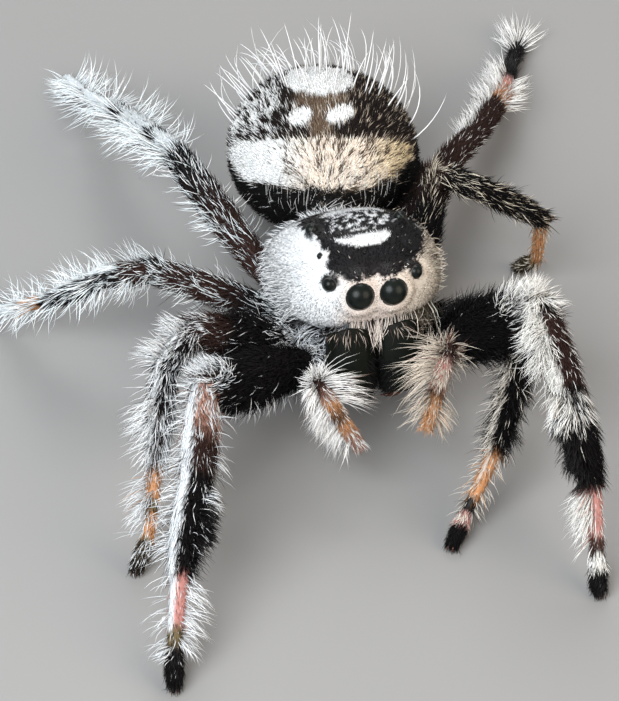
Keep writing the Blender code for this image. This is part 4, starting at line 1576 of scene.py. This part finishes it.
head_skin = owned(lambda name: part_of(name) == "carapace")
clear_skin = head_skin * clear_of_eyes(triangle_middle)
roots, normals, owners = scatter(clear_skin, HEAD_COUNT)
x, y, z = in_head(roots).T
cheek = soft_step(z, 2.3, 1.7) * soft_step(y, -2.5, -1.7)
length = (FACE_LENGTH + CHEEK_EXTRA * cheek) * chance.uniform(0.8, 1.25, HEAD_COUNT)
length *= 0.72 + 0.28 * soft_step(eye_gap(roots, EYE_NODES), 0.05, 0.35)
lashes = soft_step(eye_gap(roots, [name for name in EYE_NODES if "middle" in name]), 0.26, 0.02)
tints, is_pale = hair_tints(owners, roots, clump=0.10)
flow = combed(head_flow(roots), roots, 0.35, 0.9) + chance.normal(0, 0.22, roots.shape)
lift = chance.uniform(8, 28, HEAD_COUNT) + LASH_LIFT * lashes
head_short = grow(roots, normals, flow, length, 0.032 + 0.006 * is_pale, lift, 10, 0, tints,
                  head_place(roots), 0)
print("mean hair on the head", length.mean().round(2), "mm")

# %% [markdown]
# Below the big eyes the edge of the face ends in a fringe of longer cream and dark hairs
# that hangs over the jaws. A tuft of long cream ones hangs between the jaws.

# %% Fringe and tuft of the face
FRINGE_COUNT = 900
TUFT_COUNT = 30
HANGING = (0.0, -0.3, -1.0)

triangle_head = in_head(triangle_middle)
chin = head_skin * soft_step(triangle_head[:, 1], -1.9, -2.3)


def face_hairs(weight, count, length, lift, curl, sway, pale_share):
    """Longer hairs rooted where the weight is, in locks that hang together."""
    roots, normals, owners = scatter(weight, count)
    tints, _ = hair_tints(owners, roots, pale_share(in_head(roots)[:, 0]), clump=0.12)
    hang = combed(np.array(HANGING) @ head_turn.T, roots, 0.17, 1.5)
    return grow(roots, normals, hang, length, 0.036, lift, curl, sway, tints, head_place(roots), 2)


edge = soft_step(triangle_head[:, 2], 0.08, 0.20) * soft_step(triangle_head[:, 2], 0.62, 0.46)
edge *= soft_step(triangle_head[:, 0], -0.95, -0.70)
fringe = face_hairs(chin * edge, FRINGE_COUNT, (0.55, 1.20), (40, 84), 55, 0.18,
                    lambda x: 0.60 - 0.42 * soft_step(x, 1.0, 1.4))
above_gap = soft_step(np.abs(triangle_head[:, 0] + 0.03), 0.15, 0.10)
above_gap *= soft_step(triangle_head[:, 2], 0.15, 0.25)
above_gap *= soft_step(triangle_head[:, 2], 0.55, 0.45)
tuft = face_hairs(chin * above_gap, TUFT_COUNT, (1.0, 1.5), (40, 55), 50, 0.04, lambda x: 0.95)
print("fringe and tuft:", FRINGE_COUNT + TUFT_COUNT, "hairs")

# %% [markdown]
# The jaws are bare in front, but two kinds of hair grow on them. A black brush on their
# inner sides closes the gap between them, and short cream and brown hairs on top hide
# where they meet the face.

# %% Hairs on the jaws
BRUSH_COUNT = 700
BRUSH_BLACK = 0.010
VEIL_COUNT = 90
VEIL_CREAM = (0.52, 0.44, 0.38)
VEIL_BROWN = (0.060, 0.040, 0.033)

jaw_points = np.concatenate([mesh_array(jaw.data.vertices, "co", 3) for jaw in jaws]) / MM
jaw_normals = np.concatenate([mesh_array(jaw.data.vertices, "normal", 3) for jaw in jaws])
jaw_head = in_head(jaw_points)
jaw_front = jaw_normals @ head_turn

inner_side = np.flatnonzero((np.abs(jaw_head[:, 0]) < 0.55) & (jaw_head[:, 2] < -0.5))
chosen = chance.choice(inner_side, BRUSH_COUNT)
inward = np.tile((-0.8, 0.1, -1.0), (BRUSH_COUNT, 1))
inward[:, 0] *= np.sign(jaw_head[chosen, 0])
brush = grow(jaw_points[chosen], jaw_normals[chosen], inward @ head_turn.T, (0.20, 0.42), 0.036,
             (15, 45), 10, 0, (BRUSH_BLACK, BRUSH_BLACK), head_place(jaw_points[chosen]), 1)

top = jaw_head[:, 2].max() - 0.30
chosen = chance.choice(np.flatnonzero((jaw_head[:, 2] > top) & (jaw_front[:, 1] < 0.3)), VEIL_COUNT)
roots = jaw_points[chosen]
cream_share = 0.50 - 0.34 * soft_step(jaw_head[chosen, 0], 0.5, 1.3)
is_cream = chance.random(VEIL_COUNT) < cream_share
veil_tint = np.where(is_cream[:, None], VEIL_CREAM, VEIL_BROWN)
hang = combed(np.array((0.0, -0.4, -1.0)) @ head_turn.T, roots, 0.20, 1.6)
# the roots are darker: painted shade where light hardly reaches
veil = grow(roots, jaw_normals[chosen], hang, (0.16, 0.46), 0.030, (18, 48), 42, 0.15,
            (veil_tint * 0.6, veil_tint), head_place(roots), 2)
print("hairs on the jaws:", BRUSH_COUNT + VEIL_COUNT)

# %% Longer hairs of the cheeks
WISP_COUNT = 900

wisp_weight = clear_skin * soft_step(triangle_head[:, 2], 1.9, 0.9)
wisp_weight *= soft_step(triangle_head[:, 2], 0.1, 0.4)
wisp_weight *= soft_step(triangle_head[:, 1], -2.2, -1.2)
roots, normals, owners = scatter(wisp_weight, WISP_COUNT)
tints, _ = hair_tints(owners, roots, 0.85)
wisps = grow(roots, normals, combed(head_flow(roots), roots, 0.5, 0.8), (0.30, 0.60), 0.030,
             (28, 58), 30, 0.2, tints, head_place(roots), 2)
coat_piece("coat_head", [head_short, fringe, tuft, brush, veil, wisps])

# %% [markdown]
# ## Coat of the abdomen
# Here the fur is longer and combed to the rear. It is so thick that it is split into a
# front and a rear piece. Over it stand long white bristles, which curve up and back.

# %% Abdomen fur
ABDOMEN_COUNT = 16000
FRONT_PIECE_END = -0.9   # measured along the abdomen from its middle

abdomen_skin = owned(lambda name: part_of(name) == "abdomen")
_, abdomen_along, abdomen_up = in_abdomen(triangle_middle).T
front_piece = abdomen_along < FRONT_PIECE_END


def abdomen_flow(points):
    """Combed to the rear, a little outwards and down."""
    x, _, z = in_abdomen(points).T
    return np.stack([0.12 * x, np.ones_like(x), -0.10 - 0.25 * (z < 0)], axis=1) @ abdomen_turn.T


def abdomen_place(points):
    """The places of the abdomen's hairs on the unwraps of its coats."""
    return round_place(in_abdomen(points), np.zeros(3), abdomen_half)


for part, inside in (("front", front_piece), ("rear", ~front_piece)):
    roots, normals, owners = scatter(abdomen_skin * inside, ABDOMEN_COUNT)
    tints, _ = hair_tints(owners, roots, clump=0.11)
    dense = soft_step(markings(owners, roots)[0], 0.6, 0.9)
    length = chance.uniform(0.26, 0.44, ABDOMEN_COUNT) * (1 - 0.42 * dense)
    flow = combed(abdomen_flow(roots), roots, 0.5, 0.5) + chance.normal(0, 0.14, roots.shape)
    fur = grow(roots, normals, flow, length, 0.040 + 0.012 * dense, (14, 36), 18, 0.08, tints,
               abdomen_place(roots), 1)
    coat_piece(f"coat_abdomen_{part}", [fur])

# %% Abdomen bristles
BRISTLE_COUNT = 100
BRISTLE_WHITE = 0.80

bristle_weight = abdomen_skin * soft_step(abdomen_up, 0.1, 0.9) * soft_step(abdomen_along, -1.1, 0.6)
roots, normals, owners = scatter(bristle_weight, BRISTLE_COUNT)
hair_tints(owners, roots, 1.0)   # keeps the random draws in step; bristles are all one white
offset = in_abdomen(roots)[:, 0]
sweep = np.tile((0.0, 1.0, 0.9), (BRISTLE_COUNT, 1))
sweep[:, 0] = np.where(offset < 0, 0.55, 0.24) * offset
# the roots are darker: painted shade where light hardly reaches
bristles = grow(roots, normals, combed(sweep @ abdomen_turn.T, roots, 0.9, 0.5), (1.3, 2.5), 0.064,
                (48, 74), (35, 65), 0.10, (BRISTLE_WHITE * 0.8, BRISTLE_WHITE), abdomen_place(roots), 3)
print("bristles on the abdomen:", BRISTLE_COUNT)

# %% [markdown]
# Behind the head the front end of the abdomen has a few upright pale hairs, which show
# between head and abdomen.

# %% Upright hairs at the waist
WAIST_COUNT = 140
WAIST_PALE = 0.70

waist_weight = abdomen_skin * soft_step(abdomen_along, -2.2, -3.0)
waist_weight *= soft_step(abdomen_up, 0.9, 0.3)
waist_weight *= soft_step(abdomen_up, -1.2, -0.4)
roots, normals, _ = scatter(waist_weight, WAIST_COUNT)
upright = UP + chance.normal(0, 0.08, roots.shape)
# the roots are darker: painted shade where light hardly reaches
waist = grow(roots, normals, upright, (0.45, 1.0), 0.026, (8, 22), 14, 0,
             (WAIST_PALE * 0.6, WAIST_PALE), abdomen_place(roots), 2)
coat_piece("bristles_abdomen", [bristles, waist])

# %% [markdown]
# ## Coat of the underside
# The sternum, the bases of the legs and the spinnerets are hardly seen. They have a
# sparser coat of plain hairs, so that nothing bare shows between the legs. Only in front on
# the right, where one can look in between the legs, do longer tufts fill the gap.

# %% Underside fur
BELLY_COUNT = 9000
BELLY_HALF = np.array((2.3, 3.1, 0.8))

belly_skin = owned(lambda name: part_of(name) in ("sternum", "spinnerets"))


def belly_place(points):
    """The places of the underside's hairs on the unwrap of its coat."""
    return round_place(points, sternum_middle, BELLY_HALF)


roots, normals, owners = scatter(belly_skin, BELLY_COUNT)
tints, _ = hair_tints(owners, roots)
outward = (roots - sternum_middle) * (1, 1, 0) + np.array((0, 0, -0.4))
fur = grow(roots, normals, combed(outward, roots, 0.5, 0.8), (0.25, 0.50), 0.038, (15, 45), 15, 0,
           tints, belly_place(roots), 0)
print("hairs of the underside:", BELLY_COUNT)

# %% Tufts in front
CHEST_TUFTS = 560

front_right = belly_skin * soft_step(triangle_head[:, 0], -0.2, -0.6)
front_right *= soft_step(triangle_head[:, 1], -0.2, -0.8)
front_right *= 1 + 3 * soft_step(triangle_middle[:, 1], -2.3, -2.7)
roots, normals, owners = scatter(front_right, CHEST_TUFTS)
tints, _ = hair_tints(owners, roots, 0.80 + 0.17 * soft_step(roots[:, 1], -2.3, -2.7), clump=0.25)
forward = combed(np.array((-0.5, -1.0, 0.3)), roots, 0.30, 2.4)
tufts = grow(roots, normals, forward, (0.45, 0.80), 0.036, (35, 70), 40, 0.15, tints,
             belly_place(roots), 2)
coat_piece("coat_underside", [fur, tufts])

# %% [markdown]
# ## Coats of the legs and palps
# Each limb is one piece with three layers: a dense short undercoat, a longer top coat, and
# long hairs that stand out. The long ones make the legs look feathery. Each limb's list
# says where they grow. An entry has the start and end, counted in segments from the body,
# how many there are, how long they are, the share of pale ones, and the side that they
# favour, if any. The longer that side's direction, the more they are swept towards it.
# Lying ones grow all round and are laid along the leg as pale streaks.

# %% Sides that long hairs favour
# A direction points to the spider's left, to its rear and up.
RIGHTWARD = (-1.0, -0.1, 0.3)
LOW_RIGHT = (-1.0, 0.3, -0.3)
ALL_ROUND = None
BOTH_SIDES = "both"
LYING = "lying"
print("the spider's right is the direction", RIGHTWARD)

# %% Long hairs of the first legs
LONG_HAIRS = {}
LONG_HAIRS["leg_1_right"] = [
    (0.1, 0.8, 60, 0.55, 0.03, ALL_ROUND), (0.1, 0.95, 110, 0.60, 0.60, (0.0, -0.3, -1.0)),
    (0.78, 1.02, 150, 0.62, 0.97, (-0.1, 0.2, 1.0)), (0.85, 2.0, 90, 0.80, 0.97, LOW_RIGHT),
    (1.2, 2.0, 36, 0.75, 0.80, (1.0, 0.0, 0.0)), (2.02, 2.25, 60, 0.60, 0.90, (1.0, 0.0, 0.3)),
    (2.1, 2.98, 520, 0.55, 0.05, (1.0, 0.0, 0.3)), (2.0, 3.0, 70, 0.85, 0.96, LOW_RIGHT),
    (3.0, 4.0, 130, 0.90, 0.97, BOTH_SIDES), (4.0, 4.3, 40, 0.50, 0.80, RIGHTWARD),
    (4.1, 4.9, 200, 0.32, 0.0, ALL_ROUND)]
LONG_HAIRS["leg_1_left"] = [
    (0.1, 0.70, 300, 0.70, 0.0, (0.0, 0.3, 1.0)), (0.2, 0.95, 260, 0.60, 0.0, (0.0, -0.3, -1.0)),
    (0.70, 1.08, 330, 0.70, 0.97, (0.0, 0.1, 1.0)), (0.85, 2.0, 460, 0.85, 0.97, RIGHTWARD),
    (1.3, 2.0, 50, 0.45, 0.30, (1.0, 0.0, 0.2)), (2.0, 2.30, 230, 0.66, 0.92, RIGHTWARD),
    (2.0, 2.30, 80, 0.34, 0.75, ALL_ROUND), (2.2, 3.0, 460, 0.60, 0.0, RIGHTWARD),
    (2.2, 3.0, 260, 0.42, 0.01, ALL_ROUND), (3.0, 3.9, 190, 0.85, 0.98, RIGHTWARD),
    (4.0, 4.30, 190, 0.26, 0.98, ALL_ROUND), (4.25, 4.95, 260, 0.34, 0.0, ALL_ROUND)]
print("limbs with long hairs so far:", len(LONG_HAIRS))

# %% Long hairs of the second and third legs
LONG_HAIRS["leg_2_right"] = [
    (0.1, 1.0, 90, 0.65, 0.15, ALL_ROUND), (1.0, 2.0, 130, 0.85, 0.92, RIGHTWARD),
    (2.0, 3.0, 150, 0.90, 0.92, RIGHTWARD), (1.0, 3.0, 90, 0.60, 0.50, ALL_ROUND),
    (3.0, 4.0, 90, 0.85, 0.95, RIGHTWARD), (3.0, 4.0, 40, 0.55, 0.90, ALL_ROUND),
    (4.0, 4.9, 120, 0.26, 0.25, ALL_ROUND)]
LONG_HAIRS["leg_2_left"] = [
    (0.1, 1.0, 120, 0.60, 0.10, ALL_ROUND), (1.0, 2.2, 160, 0.80, 0.55, RIGHTWARD),
    (1.8, 3.0, 330, 0.60, 0.08, BOTH_SIDES), (2.0, 3.0, 36, 0.75, 0.90, RIGHTWARD),
    (3.0, 4.0, 90, 0.60, 0.80, BOTH_SIDES), (4.0, 4.3, 50, 0.26, 0.75, ALL_ROUND),
    (4.25, 4.95, 220, 0.32, 0.0, ALL_ROUND)]
LONG_HAIRS["leg_3_right"] = [
    (0.1, 1.0, 130, 0.75, 0.70, LYING), (0.3, 1.0, 80, 0.70, 0.90, BOTH_SIDES),
    (1.0, 2.0, 150, 0.85, 0.92, BOTH_SIDES), (1.0, 2.0, 60, 0.70, 0.80, LYING),
    (2.0, 3.0, 190, 0.95, 0.98, BOTH_SIDES), (3.0, 4.0, 130, 0.95, 0.98, BOTH_SIDES),
    (4.0, 4.9, 90, 0.65, 0.98, ALL_ROUND)]
LONG_HAIRS["leg_3_left"] = [
    (0.1, 1.0, 60, 0.60, 0.60, LYING), (0.75, 1.0, 60, 0.60, 0.85, LYING),
    (1.0, 2.0, 110, 0.75, 0.75, LYING), (2.0, 3.0, 110, 0.70, 0.70, LYING),
    (2.0, 3.0, 60, 0.60, 0.20, BOTH_SIDES), (3.0, 4.0, 120, 0.46, 0.45, ALL_ROUND),
    (4.0, 4.9, 60, 0.35, 0.30, ALL_ROUND)]
print("limbs with long hairs so far:", len(LONG_HAIRS))

# %% Long hairs of the fourth legs and the palps
LONG_HAIRS["leg_4_right"] = [
    (0.1, 1.0, 200, 0.80, 0.85, LYING), (0.3, 1.0, 90, 0.65, 0.95, BOTH_SIDES),
    (1.0, 2.0, 130, 1.10, 0.98, BOTH_SIDES), (2.0, 3.0, 140, 1.20, 1.0, BOTH_SIDES),
    (3.0, 4.0, 130, 1.20, 1.0, BOTH_SIDES), (4.0, 4.7, 90, 0.90, 1.0, BOTH_SIDES)]
LONG_HAIRS["leg_4_left"] = [
    (0.1, 1.0, 50, 0.60, 0.60, LYING), (1.0, 2.0, 40, 0.60, 0.40, LYING),
    (1.8, 2.6, 170, 0.70, 0.95, (-1.0, 0.3, 0.2)), (2.6, 3.5, 230, 1.00, 0.98, (-1.0, 0.3, 0.2)),
    (2.6, 3.3, 70, 0.80, 0.98, (1.0, -0.2, -0.2)), (3.42, 4.9, 680, 0.46, 0.0, ALL_ROUND),
    (4.35, 4.95, 120, 1.10, 0.98, (-1.0, 3.0, 1.2)), (4.5, 4.95, 36, 1.05, 0.98, (2.5, 2.0, 0.8))]
LONG_HAIRS["palp_right"] = [
    (0.1, 1.0, 250, 0.62, 1.0, ALL_ROUND), (1.0, 1.85, 320, 0.95, 0.98, (-1.7, 0.6, -0.8)),
    (1.0, 1.9, 50, 0.42, 0.80, (1.0, -0.1, 0.2)), (0.9, 1.35, 80, 1.35, 0.96, (3.0, 0.2, 0.2))]
LONG_HAIRS["palp_left"] = [
    (0.1, 1.0, 130, 0.80, 0.92, ALL_ROUND), (1.0, 1.85, 90, 0.95, 0.90, (-1.0, 0.0, 0.1)),
    (1.0, 1.85, 110, 0.90, 0.88, (1.0, 0.2, -0.2)), (0.9, 1.45, 90, 1.50, 0.92, (-3.0, -0.2, -0.2))]
print("limbs with long hairs:", len(LONG_HAIRS))

# %% [markdown]
# A limb's hairs have to know the direction of the segment that they grow on, the way
# outward from its middle, and how far along the limb they are.

# %% Places on the limbs
def limb_rows(owners, roots):
    """Axis, outward direction and measure along the limb for roots on different segments."""
    axes, outs = np.zeros_like(roots), np.zeros_like(roots)
    measures = np.zeros(len(roots))
    for number in np.unique(owners):
        mine = owners == number
        measures[mine], outs[mine] = place_on_limb(skin_names[number], roots[mine])
        axes[mine] = limbs[skin_names[number]]["axis"]
    return axes, outs, measures


def limb_place(owners, outs, measures, segments):
    """A root's place on the limb's unwrap: the angle round it and the distance along it."""
    dorsal = np.array([limbs[skin_names[n]]["dorsal"] for n in owners])
    lateral = np.array([limbs[skin_names[n]]["lateral"] for n in owners])
    angle = np.arctan2((outs * lateral).sum(1), (outs * dorsal).sum(1))
    return np.stack([angle / (2 * math.pi) + 0.5, measures / segments], axis=1)


on_limbs = owned(lambda name: name in limbs) > 0
measure_there, out_there = np.zeros(len(on_limbs)), np.zeros((len(on_limbs), 3))
_, out_there[on_limbs], measure_there[on_limbs] = limb_rows(
    triangle_owner[on_limbs], triangle_middle[on_limbs])
print("skin triangles on the limbs:", on_limbs.sum())

# %% [markdown]
# The undercoat and the top coat follow the segments: sparse and short on the metatarsus,
# dense and short on the tarsus. The fur of the rear legs is shorter than that of the others.

# %% Undercoat and top coat of a limb
PALP_SHARE = 0.32        # a palp has this share of a leg's hairs
# The length of the fur next to that of the front legs.
REAR_FUR = {"leg_4_right": 0.58, "leg_3_right": 0.66, "leg_4_left": 0.75, "leg_3_left": 0.85}
# For each layer: how many hairs on a leg, their length, width and lift, and their lock.
LAYERS = ((11000, (0.20, 0.34), 0.034, (12, 32), 0), (4200, (0.36, 0.64), 0.036, (16, 40), 1))
# For each segment: how dense its fur is and how long, both next to the tibia's.
SEGMENT_FUR = {"femur": (1.0, 1.15), "patella": (0.95, 0.95), "tibia": (1.0, 1.0),
               "metatarsus": (0.40, 0.62), "tarsus": (1.6, 0.58)}

density, relative_length = np.array([
    SEGMENT_FUR[name.split("_")[-1]] if name in limbs else (0, 1) for name in skin_names]).T


def limb_layer(limb, limb_skin, segments, layer):
    """The hairs of one layer of a limb's fur."""
    count, lengths, width, lifts, lock = layer
    if not limb.startswith("leg"):
        count = int(count * PALP_SHARE)
    roots, normals, owners = scatter(limb_skin * density[triangle_owner], count)
    axes, outs, measures = limb_rows(owners, roots)
    tints, _ = hair_tints(owners, roots)
    flow = combed(axes, roots, 0.45, 0.7) + chance.normal(0, 0.12, roots.shape)
    length = chance.uniform(*lengths, count) * relative_length[owners] * REAR_FUR.get(limb, 1)
    flat = 1 - 0.5 * soft_step(markings(owners, roots)[0], 0.82, 0.95)
    lift = chance.uniform(*lifts, count) * flat
    return grow(roots, normals, flow, length, width, lift, 15, 0.10, tints,
                limb_place(owners, outs, measures, segments), lock)


print("fur of the segments:", list(SEGMENT_FUR))

# %% [markdown]
# Long hairs need two answers for each area: on which triangles of the skin they grow, and
# how far they stand out.

# %% Where long hairs grow and how they stand
STAND = (45, 80)         # how far long hairs stand out, in degrees
SHORT_STAND = (15, 40)   # the same for those up to SHORT_LENGTH
SHORT_LENGTH = 0.46
LYING_STAND = (10, 26)
# The same on the limbs whose fringes are like combs.
FRINGE_STAND = {"leg_1_right": (60, 95), "leg_2_right": (60, 95), "leg_3_right": (55, 92),
                "leg_4_right": (58, 98)}

tufty = 0.12 + soft_step(noise(triangle_middle, 0.40, 21), 0.38, 0.62)   # they grow in tufts
on_top = np.where(measure_there > 4, soft_step(out_there @ UP, -0.6, -0.1), 1)   # of the tarsus


def favoured(side):
    """How much the long hairs grow on each of the skin's triangles, by their side."""
    if side is BOTH_SIDES:
        return soft_step(np.abs(out_there @ UP), 0.85, 0.3)
    if isinstance(side, tuple):
        return soft_step(out_there @ unit(np.array(side)), 0.3, 0.9)
    return 1.0


def limb_stand(limb, length, side):
    """The range of angles at which a limb's long hairs stand out."""
    if side is LYING:
        return LYING_STAND
    if length > SHORT_LENGTH:
        return FRINGE_STAND.get(limb, STAND)
    return SHORT_STAND


print("limbs with fringes like combs:", ", ".join(FRINGE_STAND))

# %% Long hairs of a limb
def long_hairs(limb, limb_skin, segments, area):
    """The long hairs of one area of a limb."""
    first, last, count, length, share, side = area
    weight = limb_skin * (measure_there > first) * (measure_there < last)
    roots, normals, owners = scatter(weight * tufty * on_top * favoured(side), count)
    axes, outs, measures = limb_rows(owners, roots)
    tints, _ = hair_tints(owners, roots, share)
    lean = combed(axes, roots, 0.4, 1.3)
    if isinstance(side, tuple):
        lean = lean + 0.5 * np.array(side)
    lengths = length * chance.uniform(0.65, 1.2, count)
    return grow(roots, normals, lean, lengths, 0.036, limb_stand(limb, length, side), (15, 50), 0.14,
                tints, limb_place(owners, outs, measures, segments), 2)


print("areas with long hairs:", sum(len(areas) for areas in LONG_HAIRS.values()))

# %% Grow the coats of the limbs
for limb, areas in LONG_HAIRS.items():
    segments = len(SEGMENTS if limb.startswith("leg") else PALP_SEGMENTS)
    limb_skin = owned(lambda name: name.startswith(limb))
    batches = [limb_layer(limb, limb_skin, segments, layer) for layer in LAYERS]
    batches += [long_hairs(limb, limb_skin, segments, area) for area in areas]
    coat_piece(f"coat_{limb}", batches)
print("coat triangles:", sum(coat_sizes.values()))
